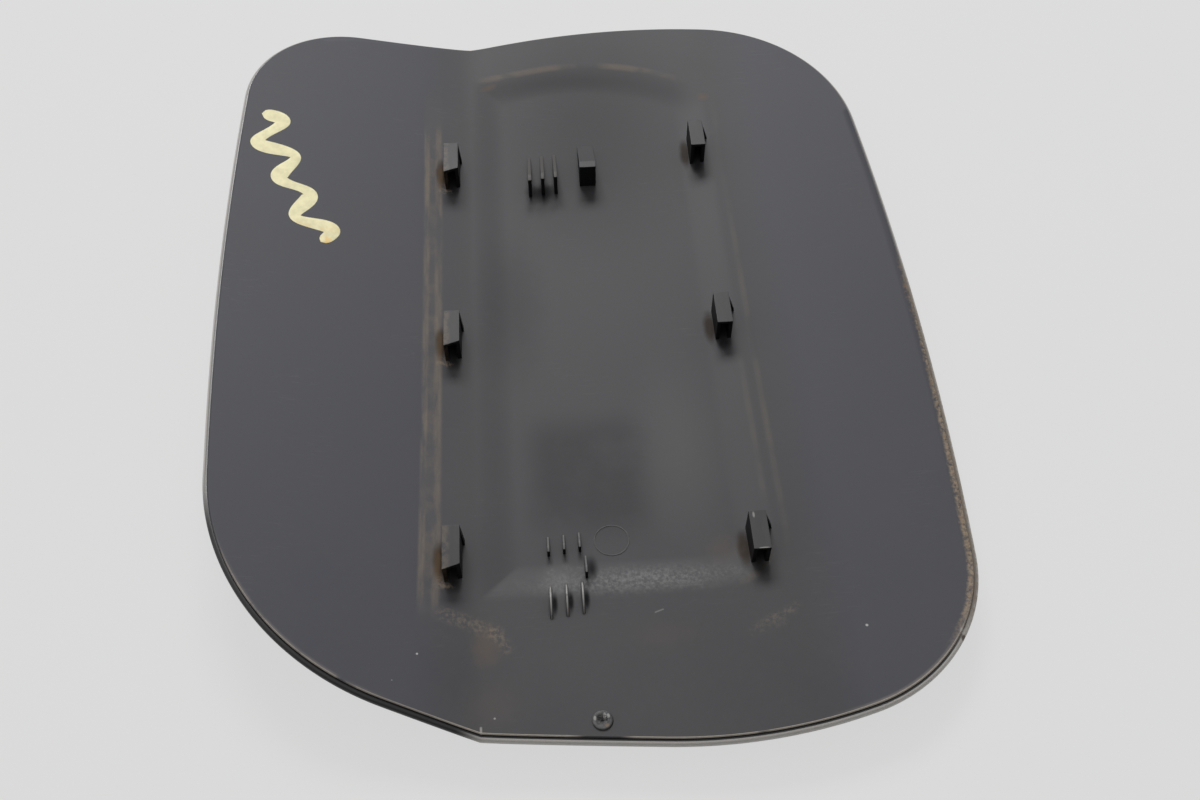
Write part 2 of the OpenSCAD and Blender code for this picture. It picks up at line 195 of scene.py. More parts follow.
class FeatureSizes(PropertyGroup):
    """Clips, locking tab, ribs and moulding marks"""

    clip_w: length("Clip width", 3.8, "Width of a clip across its slot")
    clip_l: length("Clip length", 9.3, "Length of a clip")
    clip_h: length("Clip height", 6.6, "Height of a clip above the skin")
    clip_wall: length("Clip wall", 0.9, "Wall of a clip")
    clip_wing_x: length("Wing clips", 5.2, "Line of the clips beside the crease, on the wing's side")
    clip_main_x: length("Main clips", 60.5, "Line of the clips on the main panel")
    clip_low_y: length("Lower clips", 41.7, "Lower row of clips, below the datum")
    clip_mid_wing_y: length("Middle wing clip", 18.5, "Middle clip beside the crease")
    clip_mid_main_y: length("Middle main clip", 21, "Middle clip on the main panel")
    clip_top_wing_y: length("Upper wing clip", 74.5, "Upper clip beside the crease")
    clip_top_main_y: length("Upper main clip", 80, "Upper clip on the main panel")
    clip_slant: length("Clip slant", 1.2, "How far the left wall of a wing clip runs ahead of its right wall")
    gusset_wing_w: length("Wing gusset foot", 0.5, "Foot of a wing clip's gusset, out from its wall")
    gusset_main_w: length("Main gusset foot", 1.9, "Foot of a main clip's gusset, out from its wall")
    gusset_t: length("Gusset wall", 1.1, "Thickness of a gusset")
    tab_x: length("Tab place", 30.6, "Place of the locking tab, from the crease")
    tab_front_y: length("Tab front", 70, "Front face of the locking tab, above the datum")
    tab_w: length("Tab width", 4.3, "Width of the locking tab")
    tab_h: length("Tab height", 7, "Height of the locking tab")
    tab_land: length("Tab land", 2.2, "Level land behind the tab's front face")
    tab_ramp: length("Tab ramp", 14, "Length of the tab's lead-in ramp")
    rib_t: length("Upper rib wall", 0.9, "Wall of the upper ribs")
    rib_pitch: length("Rib pitch", 3.4, "Distance between ribs")
    rib_stagger: length("Rib stagger", 0.4, "How far each rib stands behind its left neighbour")
    rib_x: length("Rib place", 18.6, "Middle rib of each group, from the crease")
    top_rib_y: length("Upper ribs", 67.4, "Front of the upper ribs, above the datum")
    top_rib_h: length("Upper rib height", 6.2, "Height of the upper ribs")
    top_rib_land: length("Upper rib land", 2, "Level land at the front of the upper ribs")
    top_rib_ramp: length("Upper rib ramp", 14, "Length of the ramp of the upper ribs")
    low_rib_t: length("Lower rib wall", 0.6, "Wall of the lower ribs")
    short_rib_y: length("Short ribs", 40.9, "Front of the short ribs, below the datum")
    short_rib_l: length("Short rib length", 4.8, "Length of the short ribs")
    short_rib_h: length("Short rib height", 2.3, "Height of the short ribs")
    blade_y: length("Blade ribs", 52.8, "Middle of the blade ribs, below the datum")
    blade_l: length("Blade length", 7.8, "Length of the blade ribs")
    blade_h: length("Blade height", 2.4, "Height of the blade ribs")
    stop_y: length("Stop rib", 47.3, "Front of the stop rib, below the datum")
    stop_side: length("Stop side", 4.5, "How far the stop rib stands to the right of the middle rib")
    stop_l: length("Stop length", 5.4, "Length of the stop rib")
    stop_h: length("Stop height", 2.8, "Height of the stop rib")
    root: length("Root", 1.1, "How deep each moulded feature reaches into the skin")
    ejector_x: length("Ejector mark place", 29.1, "Place of the ejector mark, from the crease")
    ejector_y: length("Ejector mark", 38.1, "Place of the ejector mark, below the datum")
    ejector_d: length("Ejector diameter", 8, "Diameter of the ejector mark")
    mark_w: length("Mark width", 0.4, "Width of the raised line of the ejector mark")
    mark_h: length("Mark height", 0.14, "Height of that line")
    gate_x: length("Gate place", 24.2, "Place of the gate, from the crease")
    gate_y: length("Gate", 80.3, "Place of the gate, below the datum")
    gate_d: length("Gate diameter", 4.4, "Diameter of the gate's boss")
    gate_h: length("Gate height", 0.45, "Height of the gate's boss")
    crater_d: length("Crater diameter", 2.4, "Diameter of the crater that the broken gate leaves")
    crater_depth: length("Crater depth", 0.35, "Depth of the crater")
    edge_r: length("Edge rounding", 0.16, "Rounding of the moulded features' edges")
    pen_w: length("Marker stroke", 3.9, "Width of the paint marker's stroke")


class Finishes(PropertyGroup):
    """Colours of the plastic, the paint and what lies on them, and the tones laid as painted light and shade"""

    plastic: colour("Plastic", (0.045, 0.045, 0.048), "Black moulded plastic")
    # Lighter, bluish plastic that paints the sky's reflection on the wing and the right side
    sky_reflection_tint: colour("Sky reflection tint", (0.054, 0.055, 0.068), "Lighter, bluish plastic that paints a sky reflection on the wing and the side")
    dust: colour("Dust", (0.115, 0.110, 0.104), "Thin film of dust")
    tan: colour("Tan dirt", (0.30, 0.235, 0.165), "Dried dirt along the lines of the hinge plate")
    rust: colour("Brown dirt", (0.185, 0.125, 0.080), "Brown dirt in the corners")
    grease: colour("Grease", (0.030, 0.020, 0.012), "Old grease beside the clips")
    # Also laid as painted highlight and sheen: glints on a clip, rib crests and fields of the dish
    wear: colour("Wear", (0.42, 0.41, 0.39), "Plastic that is rubbed pale")
    paint: colour("Paint", (0.49, 0.47, 0.445), "Warm silver paint of the outer face")
    marker: colour("Marker", (0.76, 0.70, 0.41), "Pale yellow paint marker")
    marker_deep: colour("Marker end", (0.72, 0.47, 0.12), "Deeper yellow at the stroke's end")
    roughness: share("Roughness", 0.45, "Roughness of the moulded face")
    sheen: share("Sheen", 0.12, "How much light the moulded face mirrors")
    feature_sheen: share("Feature sheen", 0.11, "How much light the clips, the tab and the ribs mirror")
    # Near-black tone laid as painted shade: on upright walls, in hollows, before and beside features, on darker
    # fields of the dish and on the rim
    wall: colour("Shade black", (0.009, 0.009, 0.010), "Near-black tone for painted shade on walls, in hollows and before features")


class Studio(PropertyGroup):
    """Camera, lamps and floor"""

    lens_mm: FloatProperty(name="Lens", description="Focal length on a 36 mm sensor", default=38.1)
    yaw: angle("Yaw", 3.885, "Turn of the camera from +Y towards +X")
    tilt: angle("Tilt", 54.944, "How far the camera looks down")
    distance: length("Distance", 300.25, "From the camera to its target")
    target: FloatVectorProperty(
        name="Target", description="Point in the middle of the view", default=(0.004784, -0.020651, 0.003),
        size=3, subtype="TRANSLATION", unit="LENGTH", precision=5)
    key_azimuth: angle("Key azimuth", 5, "Turn of the key lamp from +Y towards -X")
    key_elevation: angle("Key elevation", 45, "Height of the key lamp above the floor")
    key_distance: length("Key distance", 1100, "From the object to the key lamp")
    key_size: length("Key height", 300, "Height of the key lamp")
    key_width: length("Key width", 520, "Width of the key lamp")
    key_power: FloatProperty(name="Key power", description="Watts of the key lamp", default=9.0)
    fill: share("Fill", 0.72, "Strength of the world for light that spreads")
    sky_low: share("Dim side", 0.15, "Tone of the sky's dim side against its bright one")
    backdrop: share("Backdrop", 0.708, "Tone of the background")
    floor_own: share("Floor glow", 0.88, "Share of the floor's tone that no shadow reaches")


class FuelDoorSkin(PropertyGroup):
    """All sizes, finishes and studio values of the fuel door skin"""

    outline: PointerProperty(type=OutlineSizes)
    skin: PointerProperty(type=SkinSizes)
    features: PointerProperty(type=FeatureSizes)
    finishes: PointerProperty(type=Finishes)
    studio: PointerProperty(type=Studio)


def settings():
    """The values that the scene holds"""
    return bpy.context.scene.fuel_door_skin


def unit(v):
    """The same direction at length 1"""
    return v / np.linalg.norm(v)


def edge_cut(corners, i):
    """Length of straight edge that the rounding of corner i takes up on each side of it"""
    if i < 1 or i > len(corners) - 2:
        return 0.0
    back = unit(corners[i - 1][:2] - corners[i][:2])
    ahead = unit(corners[i + 1][:2] - corners[i][:2])
    return corners[i][2] / math.tan(math.acos(back @ ahead) / 2)


def edge_fit(corners, i):
    """How much of its edge the two roundings beside edge i may take"""
    run = np.linalg.norm(corners[i + 1][:2] - corners[i][:2])
    return run / (edge_cut(corners, i) + edge_cut(corners, i + 1) + TINY)


def arc_points(before, corner, after, r, pitch):
    """Points of the arc that rounds a corner between its neighbours"""
    back, ahead = unit(before - corner), unit(after - corner)
    half = math.acos(back @ ahead) / 2
    middle = corner + unit(back + ahead) * r / math.sin(half)
    start = corner + back * r / math.tan(half) - middle
    sweep = (math.pi - 2 * half) * np.sign(-back[0] * ahead[1] + back[1] * ahead[0])
    steps = max(2, math.ceil(abs(sweep) * r / pitch), math.ceil(abs(sweep) / ARC_TURN))
    points = []
    for a in np.linspace(0, sweep, steps + 1):
        turn = np.array([[math.cos(a), -math.sin(a)], [math.sin(a), math.cos(a)]])
        points.append(middle + turn @ start)
    return points


def rounded_path(corners, pitch):
    """Points along a path of corners (x, y, rounding), no further apart than the pitch"""
    c = np.array(corners, float)
    last = len(c) - 1
    fits = [edge_fit(c, i) for i in range(last)]
    for i in range(1, last):
        c[i, 2] *= min(1.0, fits[i - 1], fits[i])
    stops = [c[0, :2]]
    for i in range(1, last):
        corner, r = c[i, :2], c[i, 2]
        if r <= 0:
            stops.append(corner)
        else:
            stops += arc_points(c[i - 1, :2], corner, c[i + 1, :2], r, pitch)
    stops.append(c[last, :2])
    points = []
    for a, b in zip(stops[:-1], stops[1:]):
        n = max(1, math.ceil(np.linalg.norm(b - a) / pitch))
        points += [a + (b - a) * k / n for k in range(n)]
    return np.array(points + [stops[-1]])


def path_shares(points):
    """Share of a path's length that lies before each of its points"""
    runs = np.concatenate([[0.0], np.cumsum(np.linalg.norm(np.diff(points, axis=0), axis=1))])
    return runs / runs[-1]


def along(corners, at, pitch):
    """Points of a path at given shares of its length"""
    points = rounded_path(corners, pitch)
    s = path_shares(points)
    return np.stack([np.interp(at, s, points[:, 0]), np.interp(at, s, points[:, 1])], axis=1)


def wing_corners(o):
    """The wing's edge as x, y and rounding, from the upper end of the crease round to its lower end"""
    return [
        (0, o.crease_top_y, 0),
        (o.wing_top_in - o.wing_w, o.wing_top_y, o.wing_top_r),
        (-o.wing_w, o.wing_side_y, o.wing_side_r),
        (o.wing_low_in - o.wing_w, -o.wing_low_y, o.wing_low_r),
        (0, -o.crease_low_y, 0),
    ]


def main_corners(o):
    """The main panel's edge in the same way, from the lower end of the crease to its upper end"""
    return [
        (0, -o.crease_low_y, 0),
        (o.low_bend_x, -o.low_bend_y, o.low_bend_r),
        (o.main_w - o.main_low_in, -o.main_low_y, o.main_low_r),
        (o.main_w, o.main_side_y, o.main_side_r),
        (o.main_w - o.main_top_in, o.main_top_y, o.main_top_r),
        (o.top_bend_x, o.top_bend_y, o.top_bend_r),
        (0, o.crease_top_y, 0),
    ]


class SkinShape:
    """The skin's surfaces, in metres from the crease and the datum, and its place in the frame"""

    def __init__(self):
        self.o = settings().outline
        self.s = settings().skin
        self.f = settings().features
        wing = rounded_path(wing_corners(self.o), self.o.pitch)
        main = rounded_path(main_corners(self.o), self.o.pitch)
        self.outline = np.concatenate([wing[:-1], main[:-1]])
        self.wing_shares = path_shares(wing)[:-1]
        self.main_shares = path_shares(main)[:-1]
        step = np.roll(self.outline, -1, axis=0) - np.roll(self.outline, 1, axis=0)
        step /= np.linalg.norm(step, axis=1)[:, None]
        self.outward = np.stack([step[:, 1], -step[:, 0]], axis=1)
        middle = (self.outline.min(0) + self.outline.max(0)) / 2
        self.outline -= self.outward * self.o.margin
        crown_low = np.array([self.s.crown_low_x, self.s.crown_low_y])
        lowest = min(float(self.outer_z(crown_low + np.array([dx, 0.0]))) for dx in LOW_SEARCH)
        self.origin = np.array([middle[0], middle[1], lowest])

    def outer_z(self, p):
        """Height of the outer face: a crown both ways, and the wing that rises beyond the crease"""
        s = self.s
        x, y = p[..., 0], p[..., 1]
        rise = math.tan(s.wing_angle) * (np.sqrt(x * x + s.crease_soft**2) - x) / 2
        along_crown = (y - s.crown_low_y) ** 2 / (2 * s.crown_along_r)
        across_crown = (x - s.crown_low_x) ** 2 / (2 * s.crown_across_r)
        return along_crown + across_crown + rise

    def inner_z(self, p, inset=0.0):
        """Height of the inner face, at a distance inside the dish's edge"""
        s = self.s
        t = np.clip(inset / s.dish_blend, 0, 1)
        return self.outer_z(p) + s.skin_t - s.dish_depth * t * t * (3 - 2 * t)

    def seat_z(self, x, y):
        """Height of the inner face at a place that carries a moulded feature"""
        s = self.s
        inset = min(x, s.dish_w - x, y + s.dish_low_y, s.dish_side_top_y - y)
        return float(self.inner_z(np.array([x, y]), inset))

    def rim_ring(self, inset):
        """The outline drawn in by a distance"""
        return self.outline - self.outward * inset

    def dish_ring(self, inset):
        """The dish's edge drawn in by a distance, with one point for each point of the outline"""
        s, pitch = self.s, self.o.pitch
        wing = along(
            [(inset, s.dish_top_y - inset, 0), (inset, inset - s.dish_low_y, 0)], self.wing_shares, pitch)
        main = along([
            (inset, inset - s.dish_low_y, 0),
            (s.dish_w - inset, inset - s.dish_low_y, s.dish_corner_r - inset),
            (s.dish_w - inset, s.dish_side_top_y - inset, s.dish_corner_r - inset),
            (s.dish_arch_x, s.dish_arch_y - inset, s.dish_arch_r),
            (inset, s.dish_top_y - inset, 0),
        ], self.main_shares, pitch)
        return np.concatenate([wing, main])

    def place(self, x, y, z):
        """A point given from the crease and the datum, in the frame"""
        return Vector((x - self.origin[0], y - self.origin[1], z - self.origin[2]))


def skin_ring(plan, z, finish, dish):
    """A ring's points and finish, then 1 or -1 for inside the dish, and for on the inner face"""
    return np.column_stack([plan, z]), finish, dish, 1 if finish == INNER else -1


def inner_rings(shape, middle):
    """Rings of the inner face, from near its middle over the dish's edge and down the rim's step"""
    s = shape.s
    rings = []
    foot = shape.dish_ring(s.dish_blend)
    for t in MIDDLE_SHARES:
        plan = foot + (middle - foot) * t
        rings.append(skin_ring(plan, shape.inner_z(plan, s.dish_blend), INNER, 1))
    for k in BLEND_SHARES:
        plan = shape.dish_ring(s.dish_blend * k)
        rings.append(skin_ring(plan, shape.inner_z(plan, s.dish_blend * k), INNER, 1))
    dish_edge = shape.dish_ring(0.0)
    face_edge = shape.rim_ring(s.rim_lip + s.rim_chamfer)
    for t in PANEL_SHARES:
        plan = dish_edge + (face_edge - dish_edge) * t
        rings.append(skin_ring(plan, shape.inner_z(plan), INNER, -1))
    for t in CHAMFER_SHARES:
        plan = shape.rim_ring(s.rim_lip + s.rim_chamfer * (1 - t))
        sunk = s.rim_chamfer * (0.35 * t + 0.65 * t * t)
        rings.append(skin_ring(plan, shape.inner_z(plan) - sunk, INNER, -1))
    for t in STEP_SHARES:
        plan = shape.rim_ring(s.rim_lip)
        sunk = s.rim_chamfer + (s.rim_step - s.rim_chamfer) * t
        rings.append(skin_ring(plan, shape.inner_z(plan) - sunk, INNER, -1))
    return rings


def outer_rings(shape, middle):
    """Rings of the painted rim and the outer face, from the foot of the step to near the middle"""
    s = shape.s
    rings = []
    rim_t = s.skin_t - s.rim_step
    for a in RIM_ANGLES:
        plan = shape.rim_ring(s.rim_lip * (1 - math.cos(a)))
        rings.append(skin_ring(plan, shape.outer_z(plan) + rim_t * (1 + math.sin(a)) / 2, PAINTED, -1))
    dish_edge, outer_edge = shape.dish_ring(0.0), shape.rim_ring(s.rim_lip)
    for t in OUTER_PANEL_SHARES:
        plan = dish_edge + (outer_edge - dish_edge) * t
        rings.append(skin_ring(plan, shape.outer_z(plan), PAINTED, -1))
    for k in OUTER_BLEND_SHARES:
        plan = shape.dish_ring(s.dish_blend * k)
        rings.append(skin_ring(plan, shape.outer_z(plan), PAINTED, 1))
    foot = shape.dish_ring(s.dish_blend)
    for t in OUTER_MIDDLE_SHARES:
        plan = foot + (middle - foot) * t
        rings.append(skin_ring(plan, shape.outer_z(plan), PAINTED, 1))
    return rings


def skin_faces(n, rings):
    """Faces between rings of n points, with a fan at each pole, and the finish of each face"""
    faces, finish = [], []
    for i in range(n):
        faces.append((0, 1 + i, 1 + (i + 1) % n))
        finish.append(INNER)
    for r in range(len(rings) - 1):
        a = 1 + r * n
        for i in range(n):
            j = (i + 1) % n
            faces.append((a + i, a + n + i, a + n + j, a + j))
            finish.append(rings[r + 1][1])
    foot = 1 + (len(rings) - 1) * n
    for i in range(n):
        faces.append((foot + n, foot + (i + 1) % n, foot + i))
        finish.append(PAINTED)
    return faces, finish


def point_attribute(mesh, name, values):
    """Stores a number at each point of a mesh, for the materials to read"""
    mesh.attributes.new(name, "FLOAT", "POINT").data.foreach_set("value", np.asarray(values, np.float32))


def gap_to(points, ring):
    """Distance in millimetres from each point's plan to a ring, measured to close samples of it"""
    closed = np.vstack([ring, ring[:1]])
    samples = np.concatenate([
        closed[:-1] + (closed[1:] - closed[:-1]) * t for t in np.linspace(0, 1, RING_SAMPLES + 1)[:-1]])
    tree = kdtree.KDTree(len(samples))
    for i, p in enumerate(samples):
        tree.insert((p[0], p[1], 0), i)
    tree.balance()
    return np.array([tree.find((p[0], p[1], 0))[2] for p in points]) / MM


def build_skin(shape, materials):
    """The whole skin as one closed mesh that knows its distances to the dish's edge and to the rim"""
    s = shape.s
    middle = np.array([s.dish_w / 2, (s.dish_side_top_y - s.dish_low_y) / 2])
    rings = inner_rings(shape, middle) + outer_rings(shape, middle)
    n = len(shape.outline)
    inner_pole = [*middle, float(shape.inner_z(middle, s.dish_blend))]
    outer_pole = [*middle, float(shape.outer_z(middle))]
    points = np.vstack([[inner_pole]] + [r[0] for r in rings] + [[outer_pole]])
    faces, finish = skin_faces(n, rings)
    mesh = bpy.data.meshes.new("door_skin_face")
    mesh.from_pydata((points - shape.origin).tolist(), [], faces)
    mesh.polygons.foreach_set("material_index", finish)
    b = bmesh.new()
    b.from_mesh(mesh)
    bmesh.ops.recalc_face_normals(b, faces=b.faces)
    b.to_mesh(mesh)
    b.free()
    in_dish = np.concatenate([[1]] + [np.full(n, r[2]) for r in rings] + [[1]])
    on_face = np.concatenate([[1]] + [np.full(n, r[3]) for r in rings] + [[-1]])
    point_attribute(mesh, "dish_mm", gap_to(points, shape.dish_ring(0.0)) * in_dish)
    point_attribute(mesh, "rim_mm", gap_to(points, shape.rim_ring(s.rim_lip)) * on_face)
    return new_piece("door_skin_face", mesh, materials, sharp_deg=28)


def new_piece(name, mesh, materials, sharp_deg=35, even=False):
    """A mesh object that rides on the door, smooth except at its sharp edges"""
    for m in materials:
        mesh.materials.append(m)
    mesh.shade_smooth()
    mesh.set_sharp_from_angle(angle=math.radians(sharp_deg))
    piece = bpy.data.objects.new(name, mesh)
    bpy.context.scene.collection.objects.link(piece)
    if even:
        piece.modifiers.new("even shading", "WEIGHTED_NORMAL").keep_sharp = True
    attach(piece, BODY)
    return piece


def make_piece(name, form, finish, **options):
    """A piece from a closed form, in a finish given by name"""
    bmesh.ops.recalc_face_normals(form, faces=form.faces)
    mesh = bpy.data.meshes.new(name)
    form.to_mesh(mesh)
    form.free()
    return new_piece(name, mesh, [material(finish)], **options)


def bevelled(b, width):
    """Rounds the edges of a closed form, apart from those at its root"""
    sharp = [
        e for e in b.edges
        if e.calc_face_angle(0) > ROUNDED_FROM and max(v.co.z for v in e.verts) > ROOT_LINE]
    bmesh.ops.bevel(
        b, geom=sharp, offset=width, offset_type="OFFSET", segments=2, profile=0.6, affect="EDGES",
        clamp_overlap=True)


def join_rings(b, first, second):
    """Faces between two rings of equally many points"""
    n = len(first)
    for i in range(n):
        j = (i + 1) % n
        b.faces.new((first[i], second[i], second[j], first[j]))


def add_prism(b, first, second):
    """A closed form between two outlines"""
    rings = [[b.verts.new(p) for p in outline] for outline in (first, second)]
    b.faces.new(rings[0])
    b.faces.new(rings[1][::-1])
    join_rings(b, *rings)


def clip_form(shape, gusset_w, slant):
    """A pocket open to the front, with a gusset at the back of its right wall, from the skin's face"""
    f = shape.f
    a, hollow = f.clip_w / 2, f.clip_w / 2 - f.clip_wall
    back, pocket = f.clip_l / 2, f.clip_l / 2 - f.clip_wall
    low, top, ceiling = -f.root, f.clip_h, f.clip_h - f.clip_wall
    b = bmesh.new()

    def front(x):
        return -f.clip_l / 2 - slant * (a - x) / (2 * a)

    def face(*corners):
        b.faces.new([b.verts.new(c) for c in corners])

    left, inner_left, inner_right, right = ((x, front(x)) for x in (-a, -hollow, hollow, a))
    face((*left, top), (*right, top), (a, back, top), (-a, back, top))
    face((*left, low), (*left, top), (-a, back, top), (-a, back, low))
    face((*right, low), (a, back, low), (a, back, top), (*right, top))
    face((-a, back, low), (-a, back, top), (a, back, top), (a, back, low))
    face(
        (*left, low), (*inner_left, low), (*inner_left, ceiling), (*inner_right, ceiling),
        (*inner_right, low), (*right, low), (*right, top), (*left, top))
    face(
        (*left, low), (-a, back, low), (a, back, low), (*right, low),
        (*inner_right, low), (hollow, pocket, low), (-hollow, pocket, low), (*inner_left, low))
    face((*inner_left, low), (-hollow, pocket, low), (-hollow, pocket, ceiling), (*inner_left, ceiling))
    face((*inner_right, low), (*inner_right, ceiling), (hollow, pocket, ceiling), (hollow, pocket, low))
    face((-hollow, pocket, low), (hollow, pocket, low), (hollow, pocket, ceiling), (-hollow, pocket, ceiling))
    face(
        (*inner_left, ceiling), (-hollow, pocket, ceiling), (hollow, pocket, ceiling),
        (*inner_right, ceiling))
    bmesh.ops.remove_doubles(b, verts=b.verts, dist=0.1 * TINY)
    bevelled(b, f.edge_r)
    profile = [
        (a - f.clip_wall / 2, low), (a + gusset_w, low), (a + gusset_w, 0),
        (a, ceiling), (a - f.clip_wall / 2, ceiling)]
    add_prism(b, [(x, back - f.gusset_t, z) for x, z in profile], [(x, back, z) for x, z in profile])
    return b


def wall_form(profile, t, rounding):
    """A wall of thickness t that stands along the crease, from a profile of length and height"""
    b = bmesh.new()
    add_prism(b, [(-t / 2, y, z) for y, z in profile], [(t / 2, y, z) for y, z in profile])
    bmesh.ops.recalc_face_normals(b, faces=b.faces)
    bevelled(b, rounding)
    return b


def ramp_profile(shape, height, land, run):
    """Rises towards the front in a slight hollow to a level land, with an upright front face at 0"""
    low = -shape.f.root
    slope = [(land + run * t, height * (1 - t) ** RAMP_HOLLOW) for t in np.linspace(0, 1, 9)]
    return [(0, low), (0, height)] + slope + [(land + run, low)]


def short_profile(shape, height, long):
    """A ramp of the lower ribs, level over a quarter of its length"""
    return ramp_profile(shape, height, long / 4, long * 3 / 4)


def blade_profile(shape, long, height):
    """A blade rib, whose top edge is an arc"""
    low = -shape.f.root
    r = (long * long / 4 + height * height) / (2 * height)
    arc = [(y, height - r + math.sqrt(r * r - y * y)) for y in np.linspace(-long / 2, long / 2, 15)]
    return [(-long / 2, low)] + arc + [(long / 2, low)]


def seated(shape, b, x, y):
    """Moves a form from its own place onto the inner face"""
    bmesh.ops.translate(b, vec=shape.place(x, y, shape.seat_z(x, y)), verts=b.verts)
    return b


def joined(forms):
    """One form that holds all the given ones"""
    whole = bmesh.new()
    for b in forms:
        part = bpy.data.meshes.new("part")
        bmesh.ops.recalc_face_normals(b, faces=b.faces)
        b.to_mesh(part)
        b.free()
        whole.from_mesh(part)
        bpy.data.meshes.remove(part)
    return whole


def ring_form(shape):
    """The ejector mark: a thin raised line that follows the face"""
    f = shape.f
    b = bmesh.new()
    around, across = 96, 9

    def vertex(r, a, lift):
        x, y = f.ejector_x + r * math.cos(a), -f.ejector_y + r * math.sin(a)
        return b.verts.new(shape.place(x, y, shape.seat_z(x, y) + lift))

    loops = []
    for i in range(around):
        a = 2 * math.pi * i / around
        loop = []
        for k in range(across):
            lift = f.mark_h * math.sin(math.pi * k / (across - 1)) ** 2
            loop.append(vertex(f.ejector_d / 2 - f.mark_w * k / (across - 1), a, lift))
        for r in (f.ejector_d / 2 - f.mark_w, f.ejector_d / 2):
            loop.append(vertex(r, a, -2 * f.mark_h))
        loops.append(loop)
    for i in range(around):
        join_rings(b, loops[i], loops[(i + 1) % around])
    return b


def gate_height(f, r, a, noise):
    """Height of the gate's boss at a distance and an angle from its middle, with its torn crater"""
    outer, crater = f.gate_d / 2, f.crater_d / 2
    rim = 1 / (1 + math.exp(-(r - crater) / CRATER_SOFT))
    torn = math.exp(-((r - crater * 0.8) / TORN_W) ** 2) * max(0.0, math.cos(a - 0.5)) ** 3
    floor = f.gate_h - f.crater_depth * (1 - rim)
    rough = noise * CRATER_ROUGH * (1 - rim) + torn * (0.5 + 0.4 * noise) * TORN_H
    fall = max(0.0, (r / outer - BOSS_LEVEL) / (1 - BOSS_LEVEL))
    return (floor + rough) * (1 - fall**2.2) - f.gate_h * 0.4 * fall**2.2


def gate_form(shape):
    """The gate: a low boss with the rough crater that the broken gate leaves"""
    f = shape.f
    rng = np.random.default_rng(11)
    b = bmesh.new()
    around, radii = 64, np.linspace(0.06, 1.0, 16)
    wobble = rng.normal(0, 1, (around, len(radii)))
    wobble = (wobble + np.roll(wobble, 1, 0) + np.roll(wobble, -1, 0)) / 3

    def vertex(r, a, noise):
        x, y = f.gate_x + r * math.cos(a), -f.gate_y + r * math.sin(a)
        return b.verts.new(shape.place(x, y, shape.seat_z(x, y) + gate_height(f, r, a, noise)))

    top = vertex(0.0, 0.0, 0.4)
    rings = []
    for k, share_out in enumerate(radii):
        r = f.gate_d / 2 * share_out
        rings.append([vertex(r, 2 * math.pi * i / around, wobble[i, k]) for i in range(around)])
    skirt = [b.verts.new((v.co.x, v.co.y, v.co.z - BOSS_SKIRT)) for v in rings[-1]]
    rings.append(skirt)
    for i in range(around):
        b.faces.new((top, rings[0][i], rings[0][(i + 1) % around]))
    for inside, outside in zip(rings[:-1], rings[1:]):
        join_rings(b, inside, outside)
    b.faces.new(skirt[::-1])
    return b


def marker_path(pen_w, steps):
    """Middle line of the wavy stroke, the way across it and half its width, at even steps"""
    start, end = np.array(STROKE_START) * MM, np.array(STROKE_END) * MM
    run = unit(end - start)
    side = np.array([-run[1], run[0]])
    total = np.linalg.norm(end - start)
    t = np.linspace(0, 1, steps)
    sway = STROKE_SWAY * np.sin(2 * math.pi * STROKE_WAVES * t) * (0.8 + 0.2 * np.sin(2 * math.pi * t + 1))
    centre = start + np.outer(t * total, run) + np.outer(sway, side)
    heading = np.gradient(centre, axis=0)
    heading /= np.linalg.norm(heading, axis=1)[:, None]
    cross = np.stack([-heading[:, 1], heading[:, 0]], axis=1)
    halves = []
    for i in range(steps):
        from_end = min(i, steps - 1 - i) / (steps - 1) * total * 1.9
        ends = math.sqrt(max(0.0, 1 - max(0.0, 1 - from_end / (pen_w / 2)) ** 2)) + 0.02
        swell = 0.86 + 0.16 * math.sin(9.0 * t[i] * math.pi + 0.6) + 0.05 * math.sin(31 * t[i])
        halves.append(pen_w / 2 * min(1.0, ends) * swell)
    return centre, cross, halves


def marker_form(shape):
    """A plain wavy stroke of a paint marker, a thin closed film on the wing"""
    steps, across = 150, 9
    shares = [2 * k / (across - 1) - 1 for k in range(across)]
    b = bmesh.new()

    def vertex(p, lift):
        return b.verts.new(shape.place(p[0], p[1], float(shape.inner_z(p)) + lift))

    loops = []
    for centre, cross, half in zip(*marker_path(shape.f.pen_w, steps)):
        film = [vertex(centre + cross * half * u, FILM_T * (1 - u * u) ** 0.4 + FILM_LIFT) for u in shares]
        foot = [vertex(centre + cross * half * u, -FILM_ROOT) for u in (shares[-1], shares[0])]
        loops.append(film + foot)
    for first, second in zip(loops[:-1], loops[1:]):
        join_rings(b, first, second)
    b.faces.new(loops[0][::-1])
    b.faces.new(loops[-1])
    return b


def put_node(tree, kind, inputs=None, **options):
    """Adds a shader node, whose inputs are values, or sockets to link"""
    node = tree.nodes.new(kind)
    for key, value in options.items():
        setattr(node, key, value)
    for key, value in (inputs or {}).items():
        if isinstance(value, bpy.types.NodeSocket):
            tree.links.new(value, node.inputs[key])
        else:
            node.inputs[key].default_value = value
    return node


def rgba(c, tone=1.0):
    """A colour for a shader, made lighter or darker by a tone"""
    return (c[0] * tone, c[1] * tone, c[2] * tone, 1.0)


